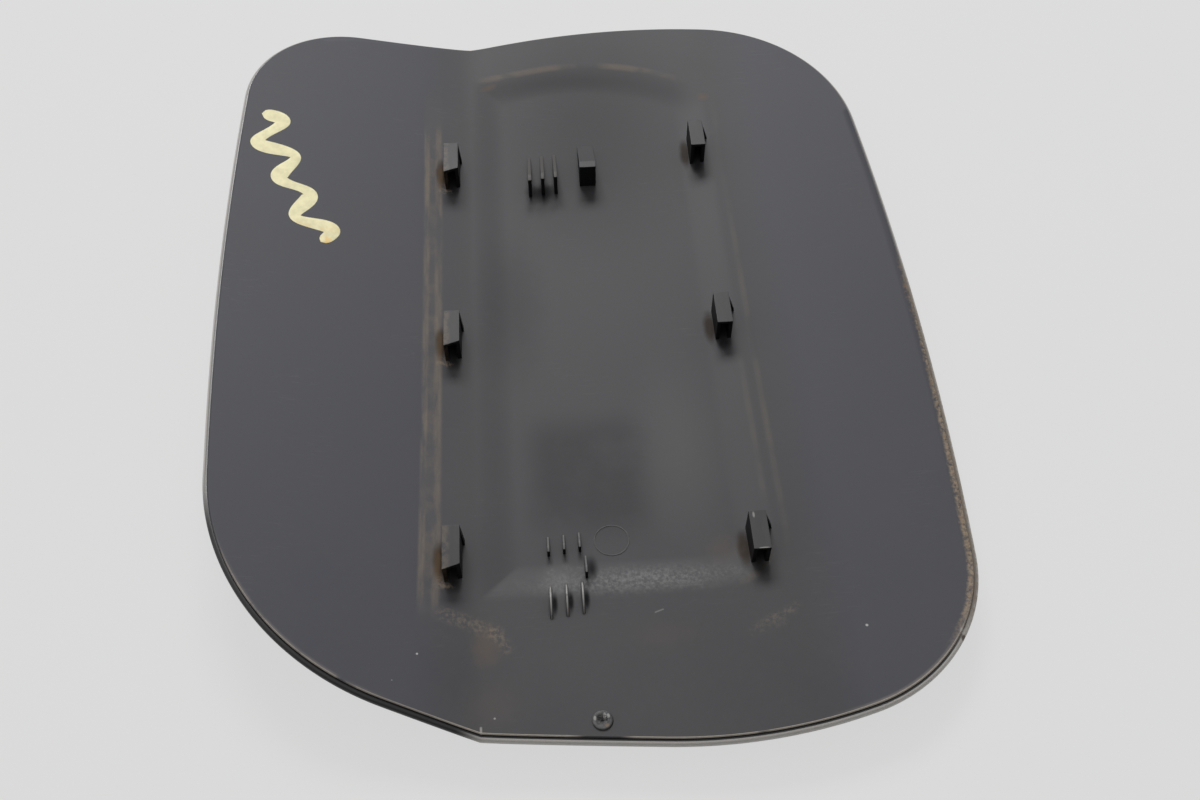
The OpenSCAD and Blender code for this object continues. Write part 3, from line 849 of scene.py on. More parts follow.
class Nodes:
    """A material's shader nodes, with places in millimetres from the crease and the datum"""

    def __init__(self, name, origin):
        self.material = bpy.data.materials.new(name)
        self.material.use_nodes = True
        self.tree = self.material.node_tree
        self.tree.nodes.clear()
        coords = self.add("ShaderNodeTexCoord").outputs["Object"]
        shifted = self.vector("ADD", coords, tuple(origin))
        self.place = self.vector("SCALE", shifted, scale=1000.0)
        split = self.add("ShaderNodeSeparateXYZ", {0: self.place})
        self.x, self.y = split.outputs[0], split.outputs[1]
        self.ragged_edge = None

    def add(self, kind, inputs=None, **options):
        """Adds a node to the material"""
        return put_node(self.tree, kind, inputs, **options)

    def calc(self, operation, a, b=0.0, c=0.0, clamp=False):
        """Works out a number"""
        return self.add("ShaderNodeMath", {0: a, 1: b, 2: c}, operation=operation, use_clamp=clamp).outputs[0]

    def vector(self, operation, a, b=(0, 0, 0), scale=1.0):
        """Works out a vector, or a number for a length or a product of two"""
        second = {"Scale": scale} if operation == "SCALE" else {1: b}
        node = self.add("ShaderNodeVectorMath", {0: a, **second}, operation=operation)
        return node.outputs["Value" if operation in ("LENGTH", "DOT_PRODUCT") else 0]

    def between(self, value, low, high, start=0.0, end=1.0):
        """Eases from start to end as the value goes from low to high"""
        inputs = {0: value, 1: low, 2: high, 3: start, 4: end}
        return self.add("ShaderNodeMapRange", inputs, interpolation_type="SMOOTHSTEP").outputs[0]

    def noise(self, scale, detail=3.0, rough=0.5, stretch=(1, 1, 1), seed=0.0):
        """Noise of a given number of waves in a millimetre"""
        place = self.vector("MULTIPLY", self.place, stretch)
        inputs = {"Vector": place, "W": seed, "Scale": scale, "Detail": detail, "Roughness": rough}
        return self.add("ShaderNodeTexNoise", inputs, noise_dimensions="4D").outputs[0]

    def attribute(self, name):
        """A number that the mesh stores at its points"""
        return self.add("ShaderNodeAttribute", attribute_name=name).outputs["Fac"]

    def facing_up(self):
        """How far each place faces up, from -1 to 1"""
        normal = self.add("ShaderNodeNewGeometry").outputs["Normal"]
        return self.add("ShaderNodeSeparateXYZ", {0: normal}).outputs[2]

    def mix(self, factor, a, b):
        """A colour from a to b"""
        return self.add("ShaderNodeMix", {0: factor, 6: a, 7: b}, data_type="RGBA").outputs[2]

    def coat(self, base, mask, strength, tone):
        """Lays a tone over a colour where the mask is 1"""
        return self.mix(self.calc("MULTIPLY", mask, strength), base, rgba(tone))

    def line(self, distance, at, width, soft):
        """1 on a line at a distance, fading over a soft edge"""
        off = self.calc("ABSOLUTE", self.calc("SUBTRACT", distance, at))
        return self.between(off, width, width + soft, 1.0, 0.0)

    def window(self, value, low, high, soft):
        """1 between two values, fading outside them"""
        up = self.between(value, low - soft, low + soft)
        down = self.between(value, high - soft, high + soft, 1.0, 0.0)
        return self.calc("MULTIPLY", up, down)

    def blotch(self, x, y, wide, tall, soft=0.6, ragged=0.0, turn=0.0):
        """A soft oval patch, with its edge made ragged by noise"""
        moved = self.vector("SUBTRACT", self.place, (x, y, 0))
        if turn:
            inputs = {"Vector": moved, "Angle": math.radians(turn)}
            moved = self.add("ShaderNodeVectorRotate", inputs, rotation_type="Z_AXIS").outputs[0]
        gap = self.vector("LENGTH", self.vector("MULTIPLY", moved, (1 / wide, 1 / tall, 0)))
        if ragged:
            if self.ragged_edge is None:
                self.ragged_edge = self.calc("SUBTRACT", self.noise(0.35, 4.0, 0.6, seed=18), 0.5)
            gap = self.calc("MULTIPLY_ADD", self.ragged_edge, ragged * 2, gap)
        return self.between(gap, 1 - soft, 1.0, 1.0, 0.0)

    def stroke(self, x1, y1, x2, y2, width, soft):
        """A thin mark from one place to another"""
        ax, ay = x2 - x1, y2 - y1
        from_start = self.vector("MULTIPLY", self.vector("SUBTRACT", self.place, (x1, y1, 0)), (1, 1, 0))
        along_it = self.vector("DOT_PRODUCT", from_start, (ax, ay, 0))
        part = self.calc("DIVIDE", along_it, ax * ax + ay * ay, clamp=True)
        nearest = self.vector("SCALE", (ax, ay, 0), scale=part)
        gap = self.vector("LENGTH", self.vector("SUBTRACT", from_start, nearest))
        return self.between(gap, width, width + soft, 1.0, 0.0)

    def most(self, *masks):
        """The largest of some masks"""
        whole = masks[0]
        for m in masks[1:]:
            whole = self.calc("MAXIMUM", whole, m)
        return whole

    def times(self, *masks):
        """Where all of some masks hold"""
        whole = masks[0]
        for m in masks[1:]:
            whole = self.calc("MULTIPLY", whole, m)
        return whole

    def bump(self, height, strength, distance_mm, below=None):
        """Small relief, over the relief below it"""
        inputs = {"Height": height, "Strength": strength, "Distance": distance_mm * MM}
        if below is not None:
            inputs["Normal"] = below
        return self.add("ShaderNodeBump", inputs).outputs[0]

    def finish(self, base, roughness, normal, **more):
        """Joins the shader to the output and gives the material"""
        inputs = {"Base Color": base, "Roughness": roughness, "Normal": normal, **more}
        shader = self.add("ShaderNodeBsdfPrincipled", inputs)
        self.add("ShaderNodeOutputMaterial", {"Surface": shader.outputs[0]})
        return self.material


def moulded_surface(n, tint):
    """Colour, roughness and bump of the bare black plastic, with a thin uneven film of dust; the tint mixes in
    the lighter, bluish plastic that paints a sky reflection
    """
    c = settings().finishes
    cloud = n.noise(0.035, 3.0, 0.55, seed=1)
    mottle = n.noise(0.5, 4.0, 0.6, seed=2)
    specks = n.noise(3.2, 2.0, 0.5, seed=3)
    base = n.mix(tint, rgba(c.plastic), rgba(c.sky_reflection_tint))
    film = n.calc("MULTIPLY_ADD", cloud, 0.30, -0.06)
    film = n.calc("MULTIPLY_ADD", n.calc("SUBTRACT", mottle, 0.5), 0.12, film)
    film = n.calc("MULTIPLY_ADD", n.calc("SUBTRACT", specks, 0.5), 0.05, film, clamp=True)
    base = n.mix(film, base, rgba(c.dust))
    rough = n.calc("MULTIPLY_ADD", n.calc("SUBTRACT", cloud, 0.5), 0.10, c.roughness)
    rough = n.calc("MULTIPLY_ADD", n.calc("SUBTRACT", mottle, 0.5), 0.07, rough)
    return base, rough, n.bump(n.noise(2.6, 3.0, 0.55, seed=4), 0.22, 0.03)


def paint_wall_shade(n, base):
    """Paints shade on what stands upright, darkening it towards near black; gives the new colour and how far
    each place faces up
    """
    up = n.facing_up()
    return n.coat(base, n.between(up, 0.35, 0.8, 1.0, 0.0), 0.9, settings().finishes.wall), up


def right_edge_dirt(n):
    """Where dried dirt sits along the right edge, and its speckle"""
    where = n.times(n.between(n.x, 92.0, 99.0), n.window(n.y, -66.0, 34.0, 7.0))
    return where, n.between(n.noise(1.3, 4.0, 0.7, seed=14), 0.34, 0.62)


def lower_edge(n):
    """1 along the lower edge, which starts higher up on the wing than on the main panel"""
    turned = n.calc("MULTIPLY_ADD", n.between(n.x, -10.0, 20.0), 36.0, n.y)
    return n.between(turned, -38.0, -20.0, 1.0, 0.0)


def rim_marks(n):
    """A pale dot, and a dark spot of painted shade for a small notch, on the rim at the lower right"""
    return n.blotch(*NICK_DOT, 1.2, 1.0, 0.7, 0.3), n.blotch(*NICK_NOTCH, 0.8, 0.9, 0.6, 0.2)


def clip_places(shape):
    """The six clips, in millimetres: low, middle and top beside the crease, then on the main panel"""
    f = shape.f
    wing = [(-f.clip_wing_x, y) for y in (-f.clip_low_y, f.clip_mid_wing_y, f.clip_top_wing_y)]
    main = [(f.clip_main_x, y) for y in (-f.clip_low_y, f.clip_mid_main_y, f.clip_top_main_y)]
    return [(x / MM, y / MM) for x, y in wing + main]


class DirtAndShade:
    """Colour, roughness and dullness of a surface, as dirt, wear and painted light and shade are laid over it"""

    def __init__(self, n, base, rough):
        self.n = n
        self.base = base
        self.rough = rough
        self.dull = None
        self.fine = n.noise(1.4, 4.0, 0.65, seed=9)
        self.crumbs = n.between(n.noise(1.1, 5.0, 0.7, seed=10), 0.42, 0.62)
        self.broken = n.calc("MULTIPLY_ADD", self.fine, 0.7, 0.65)

    def lay(self, mask, strength, tone, grip=0.75, dulls=0.0):
        """Lays a tone on, broken up by fine noise, which mirrors less where it dulls"""
        n = self.n
        if dulls:
            spread = n.calc("MULTIPLY", mask, dulls)
            self.dull = spread if self.dull is None else n.most(self.dull, spread)
        factor = n.calc("MULTIPLY", n.times(mask, self.broken), strength, clamp=True)
        self.base = n.mix(factor, self.base, rgba(tone))
        self.rough = n.calc("MULTIPLY_ADD", factor, n.calc("SUBTRACT", grip, self.rough), self.rough)


def hinge_plate_dirt(n, dirt_and_shade):
    """Dried dirt along the lines where a hinge plate lay; gives where it stands up as a film"""
    c = settings().finishes
    dish = n.attribute("dish_mm")
    patchy = n.between(n.noise(0.16, 5.0, 0.62, seed=7), 0.38, 0.62)
    streaky = n.between(n.noise(0.10, 5.0, 0.6, stretch=(3.0, 0.55, 1), seed=8), 0.36, 0.64)
    long_breaks = n.between(n.noise(0.05, 3.0, 0.5, seed=6), 0.42, 0.62)
    run = n.window(n.y, -52.0, 88.0, 6.0)
    column = n.window(n.y, -50.0, 100.0, 8.0)
    dirt_and_shade.lay(n.times(n.window(n.x, -12.4, -8.0, 1.0), column), 0.22, c.dust)
    dirt_and_shade.lay(n.times(n.window(n.x, -8.0, -1.5, 2.0), column), 0.10, c.dust)
    for x, width, soft, breaks, strength in (
            (-11.9, 0.25, 0.8, streaky, 0.34), (-8.9, 0.3, 1.0, streaky, 0.32),
            (-10.4, 0.5, 1.2, patchy, 0.12)):
        dirt_and_shade.lay(n.times(n.line(n.x, x, width, soft), run, breaks), strength, c.tan)
    arch = n.times(n.line(dish, 0.4, 0.3, 1.4), n.between(n.y, 96.0, 104.0), n.window(n.x, 4.0, 62.0, 5.0))
    dirt_and_shade.lay(n.times(arch, n.between(n.noise(0.08, 3, 0.5, seed=5), 0.38, 0.6)), 0.28, c.tan)
    plate_line = n.times(
        n.line(dish, -2.3, 0.15, 1.1), n.between(n.x, 55.0, 62.0), n.window(n.y, -40.0, 98.0, 6.0))
    inner_line = n.times(
        n.line(dish, 1.2, 0.15, 1.1), n.between(n.x, 58.0, 62.0), n.window(n.y, -32.0, 12.0, 8.0))
    corner = n.times(
        n.line(dish, 0.6, 0.3, 1.2), n.between(n.x, 50.0, 58.0), n.window(n.y, -64.0, -40.0, 3.0))
    for mark, breaks, strength in (
            (plate_line, long_breaks, 0.10), (inner_line, long_breaks, 0.09), (corner, patchy, 0.10)):
        dirt_and_shade.lay(n.times(mark, breaks), strength, c.tan)
    return n.most(arch, plate_line, n.times(n.line(n.x, -11.7, 0.3, 0.5), run))


def clip_dirt_and_shadow(n, dirt_and_shade, shape):
    """Grease with painted contact shade beside each clip, painted shadow before its mouth, and crumbs at the
    clips beside the crease
    """
    c = settings().finishes
    for x, y in clip_places(shape):
        mouth = y - shape.f.clip_l / MM / 2
        on_wing = x < 0
        # Grease beside the clip's left wall, darkened further as painted contact shade
        dirt_and_shade.lay(n.blotch(x - 2.9, y - 0.8, 2.0, 6.4, 0.7, 0.2), 0.95 if on_wing else 0.7, c.grease, 0.5, 0.8)
        # Painted shadow before the clip's mouth
        dirt_and_shade.lay(n.blotch(x, mouth - 1.4, 2.5, 3.2, 0.9, 0.2), 0.7, c.wall, 0.5, 0.7)
        if on_wing:
            dirt_and_shade.lay(n.blotch(x - 3.3, y - 1.5, 1.0, 5.6, 0.7, 0.3), 0.35, c.rust)
            at_mouth = n.blotch(x - 1.9, mouth - 2.0, 2.9, 1.3, 0.9, 0.5)
            dirt_and_shade.lay(n.times(at_mouth, dirt_and_shade.crumbs), 0.6, c.tan)
            beside_it = n.blotch(x - 2.6, mouth - 0.8, 1.3, 2.0, 0.8, 0.5)
            dirt_and_shade.lay(n.times(beside_it, dirt_and_shade.crumbs), 0.6, c.rust)


def stains_and_dish_shade(n, dirt_and_shade):
    """Brown and tan stain marks, and painted shade that darkens two fields of the dish"""
    c = settings().finishes
    for spot, strength in (
            ((4.9, 106.5, 3.4, 1.4, 0.9, 0.3, -25.0), 0.35), ((64.8, 99.0, 2.2, 2.0, 0.9, 0.3), 0.35),
            ((1.5, -62.5, 4.6, 8.0, 1.0, 0.4), 0.22)):
        dirt_and_shade.lay(n.blotch(*spot), strength, c.rust)
    for x1, y1, x2, y2, soft in ((-6.8, -55.2, 3.4, -59.5, 2.4), (3.4, -59.5, 5.6, -63.0, 2.0)):
        dirt_and_shade.lay(n.times(n.stroke(x1, y1, x2, y2, 0.3, soft), dirt_and_shade.crumbs), 0.22, c.tan)
    for spot, strength in (
            ((3.0, -76.0, 9.0, 9.0, 1.0, 0.3), 0.08), ((53.0, -42.0, 6.5, 6.0, 1.0, 0.3), 0.12),
            ((38.0, -62.0, 13.0, 6.0, 1.0, 0.4), 0.07)):
        dirt_and_shade.lay(n.blotch(*spot), strength, c.rust)
    # Painted shade: the dish's upper field, and a cloudy patch in its middle, are darkened
    dirt_and_shade.lay(n.blotch(30.0, 92.0, 40.0, 60.0, 1.0), 0.22, c.wall, 0.5, 0.3)
    patch = n.times(n.window(n.x, 12.5, 37.5, 4.5), n.window(n.y, -35.5, -6.0, 6.0))
    cloudy = n.between(n.noise(0.09, 3, 0.5, seed=17), 0.3, 0.55, 0.5, 1.0)
    dirt_and_shade.lay(n.times(patch, cloudy), 0.22, c.wall, 0.55, 0.25)
    for mark in ((57.5, -61.5, 65.5, -58.8), (56.5, -63.0, 63.0, -61.2), (60.0, -60.2, 66.5, -57.5)):
        dirt_and_shade.lay(n.times(n.stroke(*mark, 0.1, 1.5), dirt_and_shade.crumbs), 0.10, c.tan)


def specks_scratches_sheen_and_shade(n, dirt_and_shade):
    """Pale specks, short scratches, a painted sheen along the dish's lower blend, and broad fields of painted
    light and shade
    """
    c = settings().finishes
    for x, y, r, strength in (
            (80.0, -63.6, 0.38, 0.8), (-12.3, -64.5, 0.3, 0.8), (-17.0, -70.5, 0.2, 0.3),
            (3.0, -78.6, 0.28, 0.6), (61.5, -42.2, 0.3, 0.7), (64.0, -37.9, 0.3, 0.8)):
        dirt_and_shade.lay(n.blotch(x, y, r, r, 0.5), strength, c.wear)
    dirt_and_shade.lay(n.stroke(36.9, -56.8, 38.6, -56.2, 0.05, 0.2), 0.25, c.wear)
    dirt_and_shade.lay(n.stroke(0.3, -80.5, 0.3, -81.8, 0.06, 0.3), 0.5, c.wear)
    # Painted sheen along the lower blend of the dish, in the pale wear tone
    painted_sheen_band = n.times(n.blotch(34.0, -48.5, 32.0, 5.0, 1.0, 0.2), n.between(dirt_and_shade.fine, 0.34, 0.66))
    dirt_and_shade.lay(painted_sheen_band, 0.19, c.wear, 0.42)
    # More painted sheen towards the left of that band
    dirt_and_shade.lay(n.blotch(17.5, -48.5, 6.5, 8.0, 1.0, 0.2), 0.07, c.wear, 0.42)
    # Painted light on the dish's right field
    dirt_and_shade.lay(n.blotch(46.0, -13.0, 14.0, 34.0, 1.0), 0.045, c.wear)
    # Painted shade on the dish's upper left field
    dirt_and_shade.lay(n.blotch(9.0, 32.0, 12.0, 34.0, 1.0, 0.2), 0.16, c.wall, 0.5, 0.2)


def rib_shades(n, dirt_and_shade, f):
    """Painted shadow before the upper ribs and beside the stop rib, a dark crescent to the right of each blade
    rib, and pale worn patches before the short ribs
    """
    c = settings().finishes
    # Painted shadow before the upper ribs
    dirt_and_shade.lay(n.blotch(18.4, 68.0, 5.8, 5.0, 0.8, 0.2), 0.8, c.wall, 0.55, 0.9)
    for k in (-1, 0, 1):
        x = (f.rib_x + k * f.rib_pitch) / MM
        y = (k * f.rib_stagger - f.blade_y) / MM
        # Dark crescent to the right of each blade rib
        dirt_and_shade.lay(n.blotch(x + 0.8, y - 0.2, 0.9, 3.3, 0.8), 0.9, c.wall, 0.6, 0.9)
        dirt_and_shade.lay(n.times(n.blotch(x + 0.2, y + 8.2, 1.8, 1.4, 0.9, 0.4), dirt_and_shade.crumbs), 0.08, c.wear)
    # Painted shadow to the right of the stop rib
    dirt_and_shade.lay(n.blotch(24.3, -45.0, 1.9, 4.4, 1.0), 0.8, c.wall, 0.6, 0.9)


def edge_dirt_and_shade(n, dirt_and_shade):
    """Tan dirt along the right edge, the lower edge rubbed pale, painted shade with grease at the foot of the
    rim's step, and the rim's pale dot and painted notch shade
    """
    c = settings().finishes
    pale_line = [(a + b) / 2 for a, b in zip(c.wear, c.tan)]
    rim = n.attribute("rim_mm")
    right_edge, speckle = right_edge_dirt(n)
    broken_rim = n.calc("MULTIPLY_ADD", n.calc("SUBTRACT", dirt_and_shade.fine, 0.5), 1.6, rim)
    narrowed = n.calc("ADD", broken_rim, n.between(n.y, -45.0, 40.0, 0.0, 1.0))
    dirt_and_shade.lay(n.times(right_edge, speckle, n.between(narrowed, 0.9, 1.8, 1.0, 0.0)), 0.8, c.tan)
    brown = n.between(n.noise(0.9, 5, 0.7, seed=12), 0.5, 0.66)
    dirt_and_shade.lay(n.times(right_edge, brown, n.line(rim, 0.6, 0.3, 0.6)), 0.6, c.rust)
    gap = n.calc("SUBTRACT", 1.0, n.window(n.x, 19.0, 29.0, 2.0))
    rubbed = n.times(lower_edge(n), gap, n.between(n.noise(0.12, 4, 0.6, seed=13), 0.30, 0.48))
    rubbed = n.times(rubbed, n.between(n.x, -56.0, -46.0), n.between(n.x, -14.0, -2.0, 0.7, 1.0))
    dirt_and_shade.lay(n.times(rubbed, n.window(rim, 0.07, 0.40, 0.05)), 0.85, pale_line, 0.5)
    wide = n.most(n.window(n.x, 74.0, 99.0, 7.0), n.window(n.x, -50.0, -22.0, 7.0))
    dirt_and_shade.lay(n.times(rubbed, wide, n.between(rim, 0.3, 1.1, 1.0, 0.0)), 0.30, pale_line, 0.5)
    # Painted shade, with grease, at the foot of the rim's step
    dirt_and_shade.lay(n.between(rim, 0.03, 0.07, 1.0, 0.0), 0.9, c.wall, 0.7, 0.9)
    # The dark spot is painted shade of a small notch in the rim
    pale_dot, notch_shade = rim_marks(n)
    dirt_and_shade.lay(pale_dot, 0.55, c.wear)
    dirt_and_shade.lay(notch_shade, 0.9, c.grease, 0.7, 0.9)


def skin_material(shape):
    """The inner face: satin black plastic with dried dirt, dust, grease, wear and small scratches, and painted
    light, shade and reflection
    """
    n = Nodes("moulded_black_plastic", shape.origin)
    c = settings().finishes
    # Painted reflection: the wing and the right side take the lighter, bluish plastic
    wing = n.between(n.x, -16.0, 0.0, 1.0, 0.0)
    side = n.between(n.x, 66.0, 80.0)
    tint = n.calc("MULTIPLY_ADD", n.most(wing, side), 0.75, 0.12)
    base, rough, normal = moulded_surface(n, tint)
    dirt_and_shade = DirtAndShade(n, base, rough)
    raised = hinge_plate_dirt(n, dirt_and_shade)
    clip_dirt_and_shadow(n, dirt_and_shade, shape)
    stains_and_dish_shade(n, dirt_and_shade)
    specks_scratches_sheen_and_shade(n, dirt_and_shade)
    rib_shades(n, dirt_and_shade, shape.f)
    edge_dirt_and_shade(n, dirt_and_shade)
    hairline = n.noise(0.9, 2.0, 0.5, stretch=(0.25, 3.2, 1), seed=15)
    hair = n.times(n.between(hairline, 0.60, 0.66), n.between(n.noise(0.05, 2, 0.5, seed=16), 0.5, 0.7))
    dirt_and_shade.lay(hair, 0.03, c.wear, 0.5)
    normal = n.bump(n.calc("MULTIPLY", raised, dirt_and_shade.fine), 0.35, 0.06, normal)
    sheen = n.calc("MULTIPLY_ADD", dirt_and_shade.dull, -0.9 * c.sheen, c.sheen)
    return n.finish(dirt_and_shade.base, dirt_and_shade.rough, normal, **{SHEEN: sheen})


def feature_material(shape):
    """Clips, tab and upper ribs: the same plastic, with dust on top, painted shade on upright walls and painted
    glints on one clip's top
    """
    n = Nodes("moulded_features_plastic", shape.origin)
    c = settings().finishes
    base, rough, normal = moulded_surface(n, FEATURE_TINT)
    base, up = paint_wall_shade(n, base)
    top = n.between(up, 0.75, 0.97)
    streak = n.noise(0.5, 4.0, 0.6, stretch=(3.0, 0.5, 1), seed=21)
    base = n.coat(base, top, n.calc("MULTIPLY_ADD", streak, 0.3, -0.02), c.dust)
    wing_side = n.between(n.x, -6.4, -5.1, 1.0, 0.0)
    tan_strip = n.times(wing_side, n.between(n.noise(0.6, 3, 0.6, seed=22), 0.35, 0.6))
    base = n.coat(base, tan_strip, 0.20, c.tan)
    on_ribs = n.times(top, n.window(n.x, 13.5, 23.5, 0.3), n.between(n.y, 56.0, 62.0))
    base = n.coat(base, on_ribs, 0.06, c.tan)
    # Painted highlights: two pale glints on the top of the lower main clip, in the pale wear tone
    x, y = clip_places(shape)[3]
    glint = n.most(
        n.blotch(x - 0.9, y + 3.6, 0.35, 1.0, 0.6, 0.3), n.blotch(x + 0.3, y - 4.5, 1.5, 0.25, 0.6, 0.3))
    base = n.coat(base, n.times(top, glint), 0.45, c.wear)
    wall = n.times(wing_side, n.between(up, 0.5, 0.8, 1.0, 0.0))
    base = n.coat(base, wall, 0.5, c.grease)
    return n.finish(base, rough, normal, **{SHEEN: c.feature_sheen})


def mark_material(shape):
    """The thin line of the ejector mark: the plastic of the skin, a little paler"""
    n = Nodes("faint_mark_plastic", shape.origin)
    c = settings().finishes
    base, rough, normal = moulded_surface(n, FEATURE_TINT)
    base = n.mix(n.between(n.noise(0.6, 3, 0.6, seed=25), 0.3, 0.6, 0.06, 0.13), base, rgba(c.wear))
    return n.finish(base, rough, normal, **{SHEEN: c.sheen})


def crest_material(shape):
    """Thin ribs with painted shade on their walls and a painted highlight along their crests, in the pale wear
    tone
    """
    n = Nodes("rib_plastic_painted_crest", shape.origin)
    c = settings().finishes
    f = shape.f
    base, rough, normal = moulded_surface(n, FEATURE_TINT)
    base, up = paint_wall_shade(n, base)
    places = [f.rib_x + k * f.rib_pitch for k in (-1, 0, 1)] + [f.rib_x + f.stop_side]
    middle = n.most(*[n.line(n.x, x / MM, 0.07, 0.16) for x in places])
    # Painted highlight along each rib's crest
    crest_highlight = n.times(n.between(up, 0.3, 0.7), middle, n.between(n.noise(0.8, 4, 0.6, seed=31), 0.2, 0.5))
    base = n.coat(base, crest_highlight, n.between(n.y, -49.5, -48.5, 0.60, 0.22), c.wear)
    rough = n.calc("MULTIPLY_ADD", crest_highlight, -0.1, rough)
    return n.finish(base, rough, normal, **{SHEEN: c.feature_sheen})


def gate_material(shape):
    """The broken gate: torn plastic with pale glints, and painted shade in its crater and on the boss's right
    side
    """
    n = Nodes("torn_gate_plastic", shape.origin)
    c = settings().finishes
    base, rough, normal = moulded_surface(n, FEATURE_TINT)
    x, y = shape.f.gate_x / MM, -shape.f.gate_y / MM
    base = n.mix(n.between(n.noise(1.5, 5, 0.7, seed=41), 0.35, 0.65, 0.02, 0.15), base, rgba(c.wear))
    # Painted shade on the boss's right side and in its crater
    base = n.coat(base, n.between(n.x, x + 0.9, x + 2.1), 0.6, c.wall)
    base = n.coat(base, n.blotch(x - 0.3, y + 0.3, 0.9, 0.8, 0.6, 0.5), 0.85, c.wall)
    for dx, dy, wide, tall in ((0.45, 0.95, 0.35, 0.75), (1.15, 0.75, 0.4, 0.65), (-1.5, 0.4, 0.35, 0.6)):
        base = n.coat(base, n.blotch(x + dx, y + dy, wide, tall, 0.5, 0.4), 0.5, c.wear)
    base = n.coat(base, n.blotch(x + 0.8, y - 1.2, 0.7, 0.6, 0.8, 0.3), 0.6, c.rust)
    normal = n.bump(n.noise(2.4, 4, 0.7, seed=42), 0.6, 0.08, normal)
    return n.finish(base, rough, normal, **{SHEEN: c.feature_sheen})


def paint_material(shape):
    """The outer face and the rim: warm silver paint under lacquer, with fine flake and road film, and painted
    shade on the rim and under the wing's lower edge
    """
    n = Nodes("warm_silver_paint", shape.origin)
    c = settings().finishes
    flake = n.noise(9.0, 2.0, 0.5, seed=51)
    cloud = n.noise(0.05, 3.0, 0.5, seed=52)
    base = n.mix(n.between(flake, 0.45, 0.75), rgba(c.paint), rgba(c.paint, 1.35))
    base = n.coat(base, cloud, 0.16, c.dust)
    rim = n.attribute("rim_mm")
    low_side = lower_edge(n)
    # Painted shade: a dark line along the lower lip, and a darker upper lip elsewhere where it faces up or
    # sideways
    line = n.times(n.between(rim, -0.42, -0.28), low_side)
    shade = n.times(n.between(rim, -0.9, -0.3), n.calc("SUBTRACT", 1.0, low_side))
    dark = n.times(n.most(line, n.calc("MULTIPLY", shade, 0.85)), n.between(n.facing_up(), -0.2, 0.1))
    base = n.coat(base, dark, 0.95, c.wall)
    # Painted shade under the wing's lower edge
    wing_rim_shade = n.times(low_side, n.between(n.x, -5.0, 2.0, 1.0, 0.0), n.between(rim, -3.0, -1.2))
    base = n.coat(base, wing_rim_shade, 0.975, c.wall)
    # The dark spot is painted shade of a small notch in the rim
    pale_dot, notch_shade = rim_marks(n)
    base = n.coat(base, pale_dot, 0.6, c.wear)
    base = n.coat(base, notch_shade, 0.9, c.grease)
    right_edge, speckle = right_edge_dirt(n)
    on_lip = n.times(right_edge, n.between(rim, -1.3, -0.9), n.calc("MULTIPLY_ADD", speckle, 0.7, 0.3))
    base = n.coat(base, on_lip, 0.75, [v * 0.62 for v in c.tan])
    rough = n.calc("MULTIPLY_ADD", cloud, 0.12, 0.36)
    rough = n.calc("MULTIPLY_ADD", on_lip, 0.35, rough)
    scratch = n.noise(0.8, 2.0, 0.5, stretch=(0.2, 3.5, 1), seed=54)
    rough = n.calc("MULTIPLY_ADD", n.between(scratch, 0.62, 0.68), 0.10, rough)
    peel = n.bump(n.noise(0.45, 2.0, 0.5, seed=55), 0.05, 0.05)
    return n.finish(base, rough, peel, **{"Metallic": 0.15, "Coat Weight": 0.2, "Coat Roughness": 0.3})


def marker_material(shape):
    """Pale yellow paint-marker ink that thins and deepens along its stroke"""
    n = Nodes("marker_ink", shape.origin)
    c = settings().finishes
    thin = n.noise(0.5, 4.0, 0.6, seed=61)
    base = n.mix(n.between(thin, 0.3, 0.75), rgba(c.marker), rgba(c.marker, 0.82))
    deep = n.times(n.between(n.y, 46.0, 54.0, 1.0, 0.0), n.between(n.noise(0.4, 3, 0.6, seed=62), 0.45, 0.6))
    base = n.coat(base, deep, 0.8, c.marker_deep)
    return n.finish(base, n.calc("MULTIPLY_ADD", thin, 0.2, 0.45), n.bump(thin, 0.2, 0.05))


def material(name):
    """A material that the finishes step has made"""
    found = bpy.data.materials.get(name)
    if found is None:
        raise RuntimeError(f"the material {name} is made first")
    return found


def seen_rays(tree):
    """1 for the rays of the camera, of reflections and of what is seen through glass"""
    path = put_node(tree, "ShaderNodeLightPath")
    seen = path.outputs["Is Camera Ray"]
    for kind in ("Is Glossy Ray", "Is Transmission Ray"):
        seen = put_node(tree, "ShaderNodeMath", {0: seen, 1: path.outputs[kind]}, operation="MAXIMUM").outputs[0]
    return seen


def aimed(scene, name, data, place, ahead):
    """An object at a place that looks along a direction"""
    thing = bpy.data.objects.new(name, data)
    thing.location = place
    thing.rotation_mode = "QUATERNION"
    thing.rotation_quaternion = ahead.to_track_quat("-Z", "Y")
    scene.collection.objects.link(thing)
    return thing


def make_camera(scene, st):
    """The camera, which looks down at the object from in front"""
    flat = math.cos(st.tilt)
    ahead = Vector((math.sin(st.yaw) * flat, math.cos(st.yaw) * flat, -math.sin(st.tilt)))
    data = bpy.data.cameras.new("camera")
    data.sensor_width = 36.0
    data.lens = st.lens_mm
    data.clip_start, data.clip_end = 0.01, 50.0
    scene.camera = aimed(scene, "camera", data, Vector(st.target) - ahead * st.distance, ahead)


def make_key_lamp(scene, st):
    """The key lamp, a wide soft panel behind the object"""
    key = bpy.data.lights.new("key", "AREA")
    key.shape = "RECTANGLE"
    key.size = st.key_width
    key.size_y = st.key_size
    key.energy = st.key_power
    level = math.cos(st.key_elevation)
    towards = Vector((
        -math.sin(st.key_azimuth) * level, math.cos(st.key_azimuth) * level, math.sin(st.key_elevation)))
    aimed(scene, "key", key, towards * st.key_distance, -towards)


